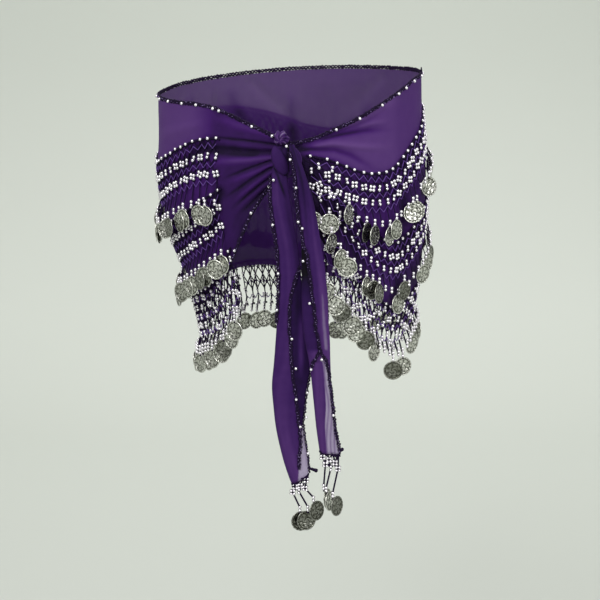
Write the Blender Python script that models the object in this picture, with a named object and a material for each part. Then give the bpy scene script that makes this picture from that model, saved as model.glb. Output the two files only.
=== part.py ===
"""A belly dance hip scarf: chiffon tied round the hips, with scalloped crochet nets, beads and coin fringes.

Sizes are in millimetres here and become metres as the points are made. +X is the wearer's left, +Y is behind
the wearer and +Z is up. The origin is the middle of the hip hollow, level with the knot at the front.
"""

from collections import namedtuple
import math

import bmesh
import bpy
import numpy as np
from mathutils import Vector

MM = 0.001

# Cloth, crochet and coins
CLOTH = 1.2             # thickness of the chiffon wall
NET = 0.8               # thickness of a crochet net
NET_STAND = 0.7         # a net lies this far outside the chiffon
SEAM = 0.3              # gap kept between pieces that meet edge to edge
EDGE_GAP = 0.6          # gap between a cloth edge and what is crocheted on to it
STRIP_DROP = 257.0      # depth of the chiffon from its top edge to its lower edge
KNOT_DROP = 30.0        # depth of the chiffon where it is gathered into the knot
NET_DEPTH = 37.0        # from a net's beaded line down to where its strings start
COIN_DROP = 69.0        # from a net's beaded line down to the middle of its coins
COIN_RADIUS = 11.5
COIN_THICK = 1.0
COIN_TURN = math.radians(16)        # coins hang turned, each overlapping the next like shingles
COIN_TURN_SPREAD = math.radians(2)
STRING_WIDE = 1.5
STRING_THICK = 1.2
STRIP_TALL = 2.0        # height of the strip that a tier's strings are rooted in
STRIP_GAP = 0.85        # gap between a net's lower edge and that strip
PITCH = 13.9            # spacing of the modelled strings

# The hips: an ellipse at each height, leaning with a hip that is pushed out to the wearer's left
Section = namedtuple("Section", "height centre_x half_width half_depth")
HIPS = (
    Section(-310, 16.5, 113.5, 96.0),
    Section(-250, 17.0, 117.0, 98.5),
    Section(-215, 16.0, 121.0, 102.0),
    Section(-180, 15.0, 126.0, 106.5),
    Section(-140, 13.0, 135.0, 111.5),
    Section(-100, 8.0, 145.0, 116.5),
    Section(-50, 2.5, 152.5, 119.5),
    Section(-10, 0.2, 153.8, 119.0),
    Section(8, -0.2, 152.8, 117.5),
    Section(45, -1.4, 150.6, 113.5),
    Section(95, -2.0, 148.0, 108.5),
    Section(125, -2.0, 147.5, 106.0),
)
GIRTH_WIDTH = 154.0     # half-width and half-depth of the section that distances round are measured on
GIRTH_DEPTH = 118.0

# The top edge, from the knot round the wearer's left hip, the back and the right hip to the knot again
Edge = namedtuple("Edge", "along height")
TOP_EDGE = (
    Edge(0, 22), Edge(25, 27), Edge(50, 37), Edge(79, 49), Edge(107, 62), Edge(135, 74),
    Edge(168, 86), Edge(214, 92), Edge(300, 95), Edge(430, 92), Edge(560, 79), Edge(645, 67),
    Edge(710, 63), Edge(773, 58), Edge(816, 41), Edge(841, 30), Edge(858, 22),
)

# How the cloth opens out from the knot: a depth comes to its full size over this distance
Opening = namedtuple("Opening", "reach power")
LEFT_EDGE = Opening(49, 1.12)       # lower edge, on the wearer's left
RIGHT_EDGE = Opening(89, 1.72)      # lower edge, on the wearer's right
RIGHT_TIERS = Opening(70, 2.0)      # all tiers, on the wearer's right

# Three scallops of crochet, and the three tiers in each. knot_side is -1 or 1 for the end that is nearer to
# the knot, hitch is how much less the third tier drops than it does elsewhere (the second has half of that),
# and hang makes the nets and strings longer.
Scallop = namedtuple("Scallop", "name start bottom end knot_side hitch hang")
SCALLOPS = (
    Scallop("left", -10, 118, 246, -1, 0, 1.0),
    Scallop("back", 246, 385, 524, 0, 0, 1.1),
    Scallop("right", 524, 652, 780, 1, 22, 1.2),
)
Tier = namedtuple("Tier", "number drop rise knot_rise lean knot_drop left_opening first_string")
TIERS = (
    Tier(1, 73, 38, 35, -6, 9, Opening(46, 1.4), 14),
    Tier(2, 161, 38, 62, 10, 0, Opening(55, 1.7), 61),
    Tier(3, 252, 26, 60, 18, 0, Opening(52, 1.15), 28),
)
LAST_TIER = 3
SCALLOP_ROUND = 0.8     # below 1 draws the bottom of each scallop to a rounder point

# Folds in the chiffon: soft ridges that run away from the knot. A level is a share of the bare cloth's depth.
Fold = namedtuple("Fold", "near far level_near level_far rise width")
LEFT_HIP_FOLDS = (
    Fold(8, 120, 0.38, 0.42, 2.6, 0.13),
    Fold(8, 75, 0.75, 0.78, 2.0, 0.14),
)
FRONT_FOLDS = (
    Fold(4, 88, 0.12, 0.12, 1.3, 0.040),
    Fold(4, 95, 0.25, 0.23, 2.4, 0.045),
    Fold(4, 92, 0.38, 0.35, 2.2, 0.040),
    Fold(4, 80, 0.52, 0.48, 2.8, 0.045),
    Fold(4, 90, 0.66, 0.62, 2.0, 0.040),
    Fold(4, 70, 0.80, 0.76, 2.4, 0.045),
)
BARE_ROWS = 5           # rows of faces from the top edge to the first beaded line
BEADED_ROWS = 9         # rows from there to the lower edge
FRONT_ROWS = 20
FRONT_COLUMNS = 10

# The two tie ends: each is folded lengthwise, with its fold on the wearer's right
Tie = namedtuple("Tie", "height left right depth")
LEFT_TIE = (
    Tie(-8.4, -21, -5, -135.5),
    Tie(-33, -21, -2, -137.0),
    Tie(-60, -18, 1, -137.0),
    Tie(-87, -14, 4, -137.0),
    Tie(-120, -13, 6, -137.0),
    Tie(-163, -15, 8, -137.0),
    Tie(-205, -19, 12, -137.0),
    Tie(-236, -21, 15, -137.0),
    Tie(-264, -19, 11, -137.0),
    Tie(-290, -15, 8, -137.0),
    Tie(-315, -9, 14, -137.0),
    Tie(-341, 0, 18, -137.0),
)
RIGHT_TIE = (
    Tie(13, 0, 9, -135.2),
    Tie(0, 5, 14, -141.5),
    Tie(-20, 7, 17, -144.5),
    Tie(-44, 9, 21, -145.0),
    Tie(-76, 12, 26, -145.0),
    Tie(-108, 16, 32, -145.0),
    Tie(-141, 20, 35, -145.0),
    Tie(-185, 22, 39, -145.0),
    Tie(-219, 22, 41, -145.0),
    Tie(-253, 26, 44, -145.0),
    Tie(-287, 30, 49, -145.0),
    Tie(-313, 33, 52, -145.0),
)
Turn = namedtuple("Turn", "across depth")       # the folded section of a tie, from its front edge round to its back
TIE_SECTION = (
    Turn(1.00, -1.0), Turn(0.62, -1.15), Turn(0.22, -0.85), Turn(0.0, 0.0),
    Turn(0.22, 0.85), Turn(0.60, 1.1), Turn(0.95, 1.0),
)
TIE_HALF_DEPTH = 1.9    # from the middle of a tie to each of its two layers
TIE_NET_DEPTH = 17.0
TIE_NET_INSETS = (0.04, 0.14)       # its top and its lower edge are this much of the tie's width narrower
TIE_STRING_INSET = 0.18
TIE_STRING_DROP = 51.0  # from a tie's end to the middle of its coins
TIE_COIN_SWAY = 5.0     # the coins at a tie's end hang to this side of it
Hang = namedtuple("Hang", "across drop")        # three coins at each tie end
TIE_COINS = (Hang(0.1, 1.0), Hang(0.5, 1.0), Hang(1.0, 0.82))
TIE_COIN_TURN = math.radians(38)

# The knot
Lump = namedtuple("Lump", "x y z half_x half_y half_z rounds bands ridges ridge_rise slant")
CORE = Lump(-5.0, -127.6, 7.0, 15.5, 7.2, 18.0, 14, 9, 3, 0.05, 2.5)
KNOB = Lump(-8.5, -129.6, 32.0, 8.5, 7.6, 7.6, 10, 7, 4, 0.12, 2.0)
Flap = namedtuple("Flap", "x y z half_x bulge half_z lean tip columns rows")
FLAP = Flap(-11.5, -135.1, 8.0, 8.0, 1.6, 16.0, 7.0, 0.25, 4, 7)
FLAP_THICK = 1.6

EDGING_TALL = 2.6
EDGING_THICK = 2.0
TIE_EDGING = 1.6        # width and thickness of the edging along a tie
TUFT = 8.0              # length of the loose end that stands up from the top edging
TUFT_ALONG = 207.0

Finish = namedtuple("Finish", "colour roughness metallic")
FINISHES = {
    "chiffon": Finish((0.09, 0.03, 0.20), 0.75, 0.0),
    "knotted_chiffon": Finish((0.045, 0.012, 0.11), 0.75, 0.0),
    "crochet": Finish((0.03, 0.012, 0.08), 0.8, 0.0),
    "edging": Finish((0.012, 0.008, 0.025), 0.85, 0.0),
    "coins": Finish((0.42, 0.42, 0.38), 0.35, 1.0),
}


class Curve:
    """A smooth curve through the rows of a short table."""

    def __init__(self, xs, ys):
        self.xs = np.array(xs, float)
        self.ys = np.array(ys, float)
        self.slopes = np.gradient(self.ys, self.xs)

    def __call__(self, x):
        x = float(np.clip(x, self.xs[0], self.xs[-1]))
        k = int(np.clip(np.searchsorted(self.xs, x) - 1, 0, len(self.xs) - 2))
        gap = self.xs[k + 1] - self.xs[k]
        t = (x - self.xs[k]) / gap
        start = self.ys[k] * (1 + 2 * t) * (1 - t) ** 2 + self.slopes[k] * gap * t * (1 - t) ** 2
        end = self.ys[k + 1] * t * t * (3 - 2 * t) + self.slopes[k + 1] * gap * t * t * (t - 1)
        return start + end


def curve_of(rows, key, column):
    """The smooth curve of one column of a table against another."""
    return Curve([getattr(row, key) for row in rows], [getattr(row, column) for row in rows])


def girth_table(steps=2000):
    """Angles round the hips, and the distance round to each, starting at the front."""
    angles = np.linspace(0, 2 * math.pi, steps + 1)
    speed = np.hypot(GIRTH_WIDTH * np.cos(angles), GIRTH_DEPTH * np.sin(angles))
    pieces = (speed[1:] + speed[:-1]) / 2 * np.diff(angles)
    return angles, np.concatenate(([0.0], np.cumsum(pieces)))


ANGLES, DISTANCES = girth_table()
ROUND = float(DISTANCES[-1])        # the whole way round the hips
CENTRE_X = curve_of(HIPS, "height", "centre_x")
HALF_WIDTH = curve_of(HIPS, "height", "half_width")
HALF_DEPTH = curve_of(HIPS, "height", "half_depth")
TOP = curve_of(TOP_EDGE, "along", "height")


def hip_point(along, height, outward):
    """The point at a distance round the hips and a height, moved outward from the hollow."""
    angle = float(np.interp(along, DISTANCES, ANGLES))
    x = CENTRE_X(height) + (HALF_WIDTH(height) + outward) * math.sin(angle)
    y = -(HALF_DEPTH(height) + outward) * math.cos(angle)
    return Vector((x, y, height))


def outward_from(along):
    """The level direction that points straight out of the cloth."""
    angle = float(np.interp(along, DISTANCES, ANGLES))
    return Vector((GIRTH_DEPTH * math.sin(angle), -GIRTH_WIDTH * math.cos(angle), 0)).normalized()


def opened(distance, opening):
    """How far the cloth has opened out at a distance from the knot, from 0 to 1."""
    return 1 - math.exp(-((max(distance, 0) / opening.reach) ** opening.power))


def cloth_drop(along):
    """Depth of the chiffon below its top edge."""
    full = STRIP_DROP
    for scallop in SCALLOPS:
        if scallop.start < along < scallop.end:
            full -= scallop.hitch * math.sin(math.pi * (along - scallop.start) / (scallop.end - scallop.start))
    spread = opened(along, LEFT_EDGE) * opened(ROUND - along, RIGHT_EDGE)
    return KNOT_DROP + (full - KNOT_DROP) * spread


def line_drop(scallop, tier, along):
    """Depth of a tier's beaded line below the top edge."""
    bottom = scallop.bottom - scallop.knot_side * tier.lean
    side = -1 if along < bottom else 1
    half = bottom - scallop.start if side < 0 else scallop.end - bottom
    share = min(abs(along - bottom) / half, 1)
    hitch = scallop.hitch * (tier.number - 1) / (LAST_TIER - 1)
    if side != scallop.knot_side:
        rise = tier.rise - hitch
    else:
        rise = tier.knot_rise if side < 0 else tier.rise
    full = tier.drop - hitch - rise * (1 - math.cos(math.pi * share ** SCALLOP_ROUND)) / 2
    spread = opened(along, tier.left_opening) * opened(ROUND - along, RIGHT_TIERS)
    return tier.knot_drop + (full - tier.knot_drop) * spread


def fold_rise(folds, along, level):
    """How far the folds lift the cloth at a distance from the knot and a level of its depth."""
    lift = 0.0
    for fold in folds:
        share = (along - fold.near) / (fold.far - fold.near)
        if 0 < share < 1:
            middle = fold.level_near + (fold.level_far - fold.level_near) * share
            across = (level - middle) / fold.width
            lift += fold.rise * math.sin(math.pi * share ** 0.6) * math.exp(-across * across)
    return lift


def columns_of(start, end):
    """Evenly spaced distances from one end of a stretch to the other, about one pitch apart."""
    count = max(2, round((end - start) / PITCH))
    return [start + (end - start) * k / count for k in range(count + 1)]


def material(name):
    made = bpy.data.materials.get(name)
    if made is None:
        made = bpy.data.materials.new(name)
        made.use_nodes = True
        shader = made.node_tree.nodes["Principled BSDF"]
        finish = FINISHES[name]
        shader.inputs["Base Color"].default_value = (*finish.colour, 1)
        shader.inputs["Roughness"].default_value = finish.roughness
        shader.inputs["Metallic"].default_value = finish.metallic
        made.diffuse_color = (*finish.colour, 1)
    return made


def add_object(name, bm, finish):
    """Turn a bmesh in millimetres into a named object in metres."""
    bmesh.ops.scale(bm, verts=bm.verts, vec=(MM, MM, MM))
    mesh = bpy.data.meshes.new(name)
    bm.to_mesh(mesh)
    bm.free()
    mesh.materials.append(material(finish))
    obj = bpy.data.objects.new(name, mesh)
    bpy.context.scene.collection.objects.link(obj)
    return obj


def add_sheet(name, place, columns, rows, thickness, finish):
    """A cloth wall: a grid with a point place(column, row) at each crossing, thickened outward."""
    bm = bmesh.new()
    grid = bmesh.ops.create_grid(bm, x_segments=columns, y_segments=rows, size=0.5)
    for vert in grid["verts"]:
        column = round((vert.co.x + 0.5) * columns)
        row = round((0.5 - vert.co.y) * rows)
        vert.co = place(column, row)
    obj = add_object(name, bm, finish)
    solidify = obj.modifiers.new("Thickness", "SOLIDIFY")
    solidify.thickness = thickness * MM
    solidify.offset = 1
    return obj


def add_band(name, sections, finish):
    """A narrow band: a ring of corners at each step, bridged to the next and closed at both ends."""
    bm = bmesh.new()
    rings = [[bm.verts.new(corner) for corner in section] for section in sections]
    sides = len(rings[0])
    for ring, after in zip(rings, rings[1:]):
        for k in range(sides):
            bm.faces.new((ring[k], ring[(k + 1) % sides], after[(k + 1) % sides], after[k]))
    bm.faces.new(rings[0])
    bm.faces.new(rings[-1])
    bmesh.ops.recalc_face_normals(bm, faces=bm.faces)
    return add_object(name, bm, finish)


def add_hip_panel(name, start, end, scallop, folds):
    """A stretch of chiffon under a scallop, with rows that follow the scallop's first beaded line."""
    columns = columns_of(start, end)
    first_tier = TIERS[0]

    def place(column, row):
        along = columns[column]
        line = line_drop(scallop, first_tier, along)
        if row <= BARE_ROWS:
            drop = line * row / BARE_ROWS
        else:
            drop = line + (cloth_drop(along) - line) * (row - BARE_ROWS) / BEADED_ROWS
        lift = fold_rise(folds, along, row / BARE_ROWS) if row < BARE_ROWS else 0.0
        return hip_point(along, TOP(along) - drop, lift)

    return add_sheet(name, place, len(columns) - 1, BARE_ROWS + BEADED_ROWS, CLOTH, "chiffon")


def front_columns():
    """Distances round to the columns of the bare front stretch."""
    start = SCALLOPS[-1].end + SEAM / 2
    end = ROUND - SEAM
    return [start + (end - start) * k / FRONT_COLUMNS for k in range(FRONT_COLUMNS + 1)]


def add_front_gathers():
    """The bare stretch on the wearer's right, gathered into the knot."""
    columns = front_columns()

    def place(column, row):
        along = columns[column]
        level = row / FRONT_ROWS
        lift = fold_rise(FRONT_FOLDS, ROUND - along, level)
        return hip_point(along, TOP(along) - level * cloth_drop(along), lift)

    return add_sheet("chiffon_front_gathers", place, FRONT_COLUMNS, FRONT_ROWS, CLOTH, "chiffon")


class NetEdge:
    """The height of one tier's beaded line, straight between the cloth's columns."""

    def __init__(self, scallop, tier, start, end):
        self.hang = scallop.hang
        self.columns = columns_of(start, end)
        self.heights = [TOP(along) - line_drop(scallop, tier, along) for along in self.columns]

    def height(self, along):
        return float(np.interp(along, self.columns, self.heights))


def add_net(name, edge, rows):
    """A crochet net that lies on the chiffon or hangs below it."""

    def place(column, row):
        height = edge.heights[column] - edge.hang * NET_DEPTH * row / rows
        return hip_point(edge.columns[column], height, CLOTH + NET_STAND)

    return add_sheet(name, place, len(edge.columns) - 1, rows, NET, "crochet")


def strand_corners(face, centre, wide, thick, old_centre, old_wide, old_thick):
    """Move a face's four corners from one section of a strand to the next."""
    for vert in face.verts:
        offset = vert.co - old_centre
        side = 1 if offset.dot(old_wide) > 0 else -1
        front = 1 if offset.dot(old_thick) > 0 else -1
        vert.co = centre + wide * side + thick * front


def grow_strand(bm, root, root_wide, root_thick, coin):
    """Draw a string down out of a root face, and end it in a six-sided coin."""
    old = (root.calc_center_median(), root_wide, root_thick)
    levels = (
        (COIN_RADIUS, STRING_WIDE / 2, STRING_THICK / 2),
        (COIN_RADIUS * 0.42, COIN_RADIUS * 0.92, COIN_THICK / 2),
        (-COIN_RADIUS * 0.42, COIN_RADIUS * 0.92, COIN_THICK / 2),
        (-COIN_RADIUS, COIN_RADIUS * 0.36, COIN_THICK / 2),
    )
    face = root
    for rise, half_wide, half_thick in levels:
        face = bmesh.ops.extrude_discrete_faces(bm, faces=[face])["faces"][0]
        section = (coin.centre + Vector((0, 0, rise)), coin.plate * half_wide, coin.through * half_thick)
        strand_corners(face, *section, *old)
        old = section


Coin = namedtuple("Coin", "centre plate through")


def shingled(centres, outs, turns):
    """Coins in a row, each turned from the line of its row so that it clears its neighbours."""
    coins = []
    last = len(centres) - 1
    for k, (centre, out, turn) in enumerate(zip(centres, outs, turns)):
        row = centres[min(k + 1, last)] - centres[max(k - 1, 0)]
        row.z = 0
        row.normalize()
        facing = Vector((row.y, -row.x, 0))
        if facing.dot(out) < 0:
            facing.negate()
        plate = row * math.cos(turn) + facing * math.sin(turn)
        coins.append(Coin(centre, plate, facing * math.cos(turn) - row * math.sin(turn)))
    return coins


def add_fringe(name, roots, coins, strip_end):
    """Strings and coins on a narrow strip. A root is its left and right corner and its outward direction."""
    bm = bmesh.new()
    rings = []
    half = STRING_THICK / 2
    corners = [(corner, out) for left, right, out in roots for corner in (left, right)]
    for corner, out in corners + [strip_end]:
        ring = (corner + Vector((0, 0, STRIP_TALL)), corner + out * half, corner - out * half)
        rings.append([bm.verts.new(point) for point in ring])
    root_faces = []
    for k, (ring, after) in enumerate(zip(rings, rings[1:])):
        for a, b in ((0, 1), (1, 2), (2, 0)):
            face = bm.faces.new((ring[a], after[a], after[b], ring[b]))
            if k % 2 == 0 and (a, b) == (1, 2):
                root_faces.append(face)
    bm.faces.new((rings[0][0], rings[0][1], rings[0][2]))
    bm.faces.new((rings[-1][2], rings[-1][1], rings[-1][0]))
    for face, (left, right, out), coin in zip(root_faces, roots, coins):
        grow_strand(bm, face, (right - left) / 2, out * half, coin)
    bmesh.ops.recalc_face_normals(bm, faces=bm.faces)
    return add_object(name, bm, "coins")


def add_hip_fringe(name, edge):
    """A tier's strings and coins, hanging plumb and clear of the cloth."""
    middle = CLOTH + NET_STAND + NET / 2
    stand = CLOTH + NET_STAND + NET + COIN_RADIUS * math.sin(COIN_TURN + COIN_TURN_SPREAD) + COIN_THICK
    roots = []
    centres = []
    turns = []

    def strip_point(along):
        low = edge.height(along) - edge.hang * NET_DEPTH
        return hip_point(along, low - STRIP_GAP - STRIP_TALL, middle)

    first = edge.columns[0] + STRING_WIDE / 2
    for k, along in enumerate([first] + edge.columns[1:-1]):
        out = outward_from(along)
        roots.append((strip_point(along - STRING_WIDE / 2), strip_point(along + STRING_WIDE / 2), out))
        height = edge.height(along) - edge.hang * COIN_DROP
        coin = hip_point(along, strip_point(along).z, stand)
        coin += out * max(0.0, (hip_point(along, height, stand) - coin).dot(out))
        centres.append(Vector((coin.x, coin.y, height)))
        turns.append(COIN_TURN + COIN_TURN_SPREAD * math.sin(2.4 * k))
    end = edge.columns[-1]
    coins = shingled(centres, [root[2] for root in roots], turns)
    return add_fringe(name, roots, coins, (strip_point(end), outward_from(end)))


def edge_band(alongs, heights, outwards):
    """Four-cornered sections of an edging that runs round the hips."""
    sections = []
    for along, (low, high), (inner, outer) in zip(alongs, heights, outwards):
        sections.append((hip_point(along, low, inner), hip_point(along, low, outer),
                         hip_point(along, high, outer), hip_point(along, high, inner)))
    return sections


def add_top_edging(stretches):
    """The dark crochet edging on the whole top edge, with one loose end standing up at the hip."""
    inner = (CLOTH - EDGING_THICK) / 2
    alongs = front_columns()
    for start, end in stretches:
        alongs += columns_of(start, end)
    alongs = sorted(alongs + [TUFT_ALONG - 1.0, TUFT_ALONG, TUFT_ALONG + 1.0])
    heights = []
    for along in alongs:
        tall = TUFT if abs(along - TUFT_ALONG) < 0.1 else EDGING_TALL
        heights.append((TOP(along) + EDGE_GAP, TOP(along) + EDGE_GAP + tall))
    sections = edge_band(alongs, heights, [(inner, inner + EDGING_THICK)] * len(alongs))
    return add_band("edging_top", sections, "edging")


def add_lower_edging():
    """The edging on the slanting lower edge of the bare front stretch."""
    inner = (CLOTH - EDGING_THICK) / 2
    alongs = front_columns()[:-1]
    heights = []
    outwards = []
    for along in alongs:
        low = TOP(along) - cloth_drop(along) - EDGE_GAP
        lift = fold_rise(FRONT_FOLDS, ROUND - along, 1.0)
        heights.append((low - EDGING_TALL, low))
        outwards.append((inner + lift, inner + lift + EDGING_THICK))
    return add_band("edging_lower", edge_band(alongs, heights, outwards), "edging")


def tie_point(row, turn):
    """A point on a folded tie's cloth."""
    x = row.left + (row.right - row.left) * turn.across
    return Vector((x, row.depth + turn.depth * TIE_HALF_DEPTH, row.height))


def add_tie(name, rows):
    def place(column, row):
        return tie_point(rows[row], TIE_SECTION[column])

    return add_sheet(name, place, len(TIE_SECTION) - 1, len(rows) - 1, CLOTH, "knotted_chiffon")


def add_tie_edging(name, rows, side, first, last):
    """The edging on a long edge of a tie: side is -1 for its left and 1 for its right."""
    sections = []
    for row in rows[first:last + 1]:
        edge = row.left if side < 0 else row.right
        near = edge + side * EDGE_GAP
        far = near + side * TIE_EDGING
        half = TIE_EDGING / 2
        depth = row.depth - (TIE_HALF_DEPTH if side > 0 else 0)
        sections.append([Vector((x, depth + y, row.height))
                         for x, y in ((near, -half), (far, -half), (far, half), (near, half))])
    return add_band(name, sections, "edging")


def add_tie_end(side, rows):
    """The small net and the three coins at a tie's end."""
    end = rows[-1]
    width = end.right - end.left
    out = Vector((0, -1, 0))
    low = end.height - EDGE_GAP - TIE_NET_DEPTH
    sections = []
    for height, inset in zip((end.height - EDGE_GAP, low), TIE_NET_INSETS):
        left = end.left + width * inset
        right = end.right - width * inset
        sections.append([Vector((x, end.depth + y, height))
                         for x, y in ((left, -NET), (right, -NET), (right, NET), (left, NET))])
    add_band("net_tail_" + side, sections, "crochet")
    roots = []
    centres = []
    for hang in TIE_COINS:
        x = end.left + width * (TIE_STRING_INSET + (1 - 2 * TIE_STRING_INSET) * hang.across)
        corner = Vector((x, end.depth, low - EDGE_GAP - STRIP_TALL))
        half = Vector((STRING_WIDE / 2, 0, 0))
        roots.append((corner - half, corner + half, out))
        coin_x = end.left + width * hang.across + TIE_COIN_SWAY
        centres.append(Vector((coin_x, end.depth, end.height - TIE_STRING_DROP * hang.drop)))
    strip_end = (roots[-1][1] + Vector((STRING_WIDE, 0, 0)), out)
    coins = shingled(centres, [out] * len(centres), [TIE_COIN_TURN] * len(centres))
    add_fringe("coins_tail_" + side, roots, coins, strip_end)


def add_lump(name, lump):
    """A rounded mass of wound cloth with slanting ridges."""
    bm = bmesh.new()
    sphere = bmesh.ops.create_uvsphere(bm, u_segments=lump.rounds, v_segments=lump.bands, radius=1)
    for vert in sphere["verts"]:
        angle = math.atan2(vert.co.y, vert.co.x)
        level = math.hypot(vert.co.x, vert.co.y)
        ridge = math.cos(lump.ridges * angle + lump.slant * vert.co.z)
        swell = 1 + lump.ridge_rise * level * ridge
        vert.co = Vector((lump.x + lump.half_x * swell * vert.co.x,
                          lump.y + lump.half_y * swell * vert.co.y,
                          lump.z + lump.half_z * vert.co.z))
    bmesh.ops.recalc_face_normals(bm, faces=bm.faces)
    return add_object(name, bm, "knotted_chiffon")


def add_flap():
    """The leaf-shaped turn of cloth that covers the front of the knot."""

    def place(column, row):
        level = row / FLAP.rows
        across = 2 * column / FLAP.columns - 1
        leaf = math.sin(math.pi * (0.12 + 0.8 * level)) ** 0.8
        half = FLAP.half_x * (FLAP.tip + (1 - FLAP.tip) * leaf)
        x = FLAP.x + half * across + FLAP.lean * (level - 0.5)
        y = FLAP.y - FLAP.bulge * (1 - across * across) * math.sin(math.pi * level)
        return Vector((x, y, FLAP.z + FLAP.half_z * (1 - 2 * level)))

    return add_sheet("knot_flap", place, FLAP.columns, FLAP.rows, FLAP_THICK, "knotted_chiffon")


def build_cloth():
    half = SEAM / 2
    left, back, right = SCALLOPS
    add_hip_panel("chiffon_left_hip", SEAM, left.end - half, left, LEFT_HIP_FOLDS)
    add_hip_panel("chiffon_back", back.start + half, back.end - half, back, ())
    add_hip_panel("chiffon_right_hip", right.start + half, right.end - half, right, ())
    add_front_gathers()


def build_tiers():
    for scallop in SCALLOPS:
        for tier in TIERS:
            start = max(scallop.start, 0 if scallop.start > 0 else tier.first_string)
            edge = NetEdge(scallop, tier, start + SEAM / 2, scallop.end - SEAM / 2)
            add_net("net_%s_%d" % (scallop.name, tier.number), edge, 2)
            add_hip_fringe("coins_%s_%d" % (scallop.name, tier.number), edge)


def build_edgings():
    half = SEAM / 2
    left, back, right = SCALLOPS
    add_top_edging(((SEAM, left.end - half), (back.start + half, back.end - half),
                    (right.start + half, right.end - half)))
    add_lower_edging()
    add_tie_edging("edging_tail_left_outer", LEFT_TIE, -1, 1, 6)
    add_tie_edging("edging_tail_left_inner", LEFT_TIE, 1, 6, len(LEFT_TIE) - 1)
    add_tie_edging("edging_tail_right_outer", RIGHT_TIE, -1, 1, 8)
    add_tie_edging("edging_tail_right_inner", RIGHT_TIE, 1, 8, len(RIGHT_TIE) - 1)


def build_knot():
    add_lump("knot_core", CORE)
    add_lump("knot_knob", KNOB)
    add_flap()
    add_tie("tail_left", LEFT_TIE)
    add_tie("tail_right", RIGHT_TIE)
    add_tie_end("left", LEFT_TIE)
    add_tie_end("right", RIGHT_TIE)


def main():
    for obj in list(bpy.data.objects):
        bpy.data.objects.remove(obj)
    build_cloth()
    build_tiers()
    build_edgings()
    build_knot()


main()
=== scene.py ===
"""Belly dance hip scarf: sheer cloth, crochet nets, beads and stamped coins, dressed over the plain solids.

Sizes are in millimetres until a mesh is made. +X is the wearer's left, +Y is behind the wearer, +Z is up.
"""

import math
from collections import namedtuple

import bmesh
import bpy
import numpy as np
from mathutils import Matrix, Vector


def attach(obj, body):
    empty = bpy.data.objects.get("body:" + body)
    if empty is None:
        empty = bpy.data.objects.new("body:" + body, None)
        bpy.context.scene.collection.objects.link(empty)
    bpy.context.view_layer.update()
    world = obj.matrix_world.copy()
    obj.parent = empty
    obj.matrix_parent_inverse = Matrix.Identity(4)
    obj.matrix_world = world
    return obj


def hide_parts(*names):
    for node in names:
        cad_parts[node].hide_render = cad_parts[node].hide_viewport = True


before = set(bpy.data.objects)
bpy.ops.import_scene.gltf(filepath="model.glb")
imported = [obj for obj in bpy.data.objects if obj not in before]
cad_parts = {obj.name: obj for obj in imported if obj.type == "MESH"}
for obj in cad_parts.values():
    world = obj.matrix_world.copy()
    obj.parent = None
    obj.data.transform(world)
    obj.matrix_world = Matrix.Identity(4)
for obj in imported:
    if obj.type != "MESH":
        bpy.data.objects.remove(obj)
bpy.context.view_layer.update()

bl_info = {
    "name": "Belly Dance Hip Scarf",
    "version": (1, 0, 0),
    "blender": (4, 5, 0),
    "location": "3D View > Sidebar > Hip Scarf",
    "description": "Builds a knotted chiffon hip scarf with crochet nets, beads and coin fringes",
    "category": "Add Mesh",
}

MM = 0.001

# ------------------------------------------------------------
# The scarf's own measures
# ------------------------------------------------------------


def rows_of(kind, rows):
    return tuple(kind(*row) for row in rows)


Section = namedtuple("Section", "height centre_x half_width half_depth")
HIPS = rows_of(Section, (
    (-310, 16.5, 113.5, 96.0), (-250, 17.0, 117.0, 98.5), (-215, 16.0, 121.0, 102.0),
    (-180, 15.0, 126.0, 106.5), (-140, 13.0, 135.0, 111.5), (-100, 8.0, 145.0, 116.5),
    (-50, 2.5, 152.5, 119.5), (-10, 0.2, 153.8, 119.0), (8, -0.2, 152.8, 117.5), (45, -1.4, 150.6, 113.5),
    (95, -2.0, 148.0, 108.5), (125, -2.0, 147.5, 106.0),
))
# The oval that distances round the hips are measured on
GIRTH_WIDTH = 154.0
GIRTH_DEPTH = 118.0

Edge = namedtuple("Edge", "along height")
TOP_EDGE = rows_of(Edge, (
    (0, 22), (25, 27), (50, 37), (79, 49), (107, 62), (135, 74), (168, 86), (214, 92), (300, 95), (430, 92),
    (560, 79), (645, 67), (710, 63), (773, 58), (816, 41), (841, 30), (858, 22),
))
STRIP_DROP = 257.0
KNOT_DROP = 30.0
Opening = namedtuple("Opening", "reach power")
LEFT_OPENING = Opening(49, 1.12)
RIGHT_OPENING = Opening(89, 1.72)
TIER_OPENING = Opening(70, 2.0)
Scallop = namedtuple("Scallop", "name start bottom end knot_side hitch hang")
SCALLOPS = (
    Scallop("left", -10, 118, 246, -1, 0, 1.0),
    Scallop("back", 246, 385, 524, 0, 0, 1.1),
    Scallop("right", 524, 652, 780, 1, 22, 1.2),
)
Tier = namedtuple("Tier", "number drop rise knot_rise lean knot_drop left_opening first_string")
TIERS = (
    Tier(1, 73, 38, 35, -6, 9, Opening(54, 1.9), 13),
    Tier(2, 161, 38, 62, 10, 0, Opening(55, 1.7), 24),
    Tier(3, 252, 26, 60, 18, 0, Opening(52, 1.15), 28),
)
LAST_TIER = 3
SCALLOP_ROUND = 0.8
# How far the chiffon's hem reaches below the lowest net's beaded line, and how much further beside the knot
HEM_BELOW_LINE = 6.0
HEM_BY_KNOT = 24.0

# How far each layer stands out from the hips
CLOTH_OUT = 0.8
NET_OUT = 2.3
BEAD_OUT = 3.2
COIN_OUT = 7.2
COIN_CLEAR = 3.2         # a coin hung edge-on is kept this far off the cloth
SIDE_PUSH = 2.5          # and is moved out by no more than this at the side of the hip

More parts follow.
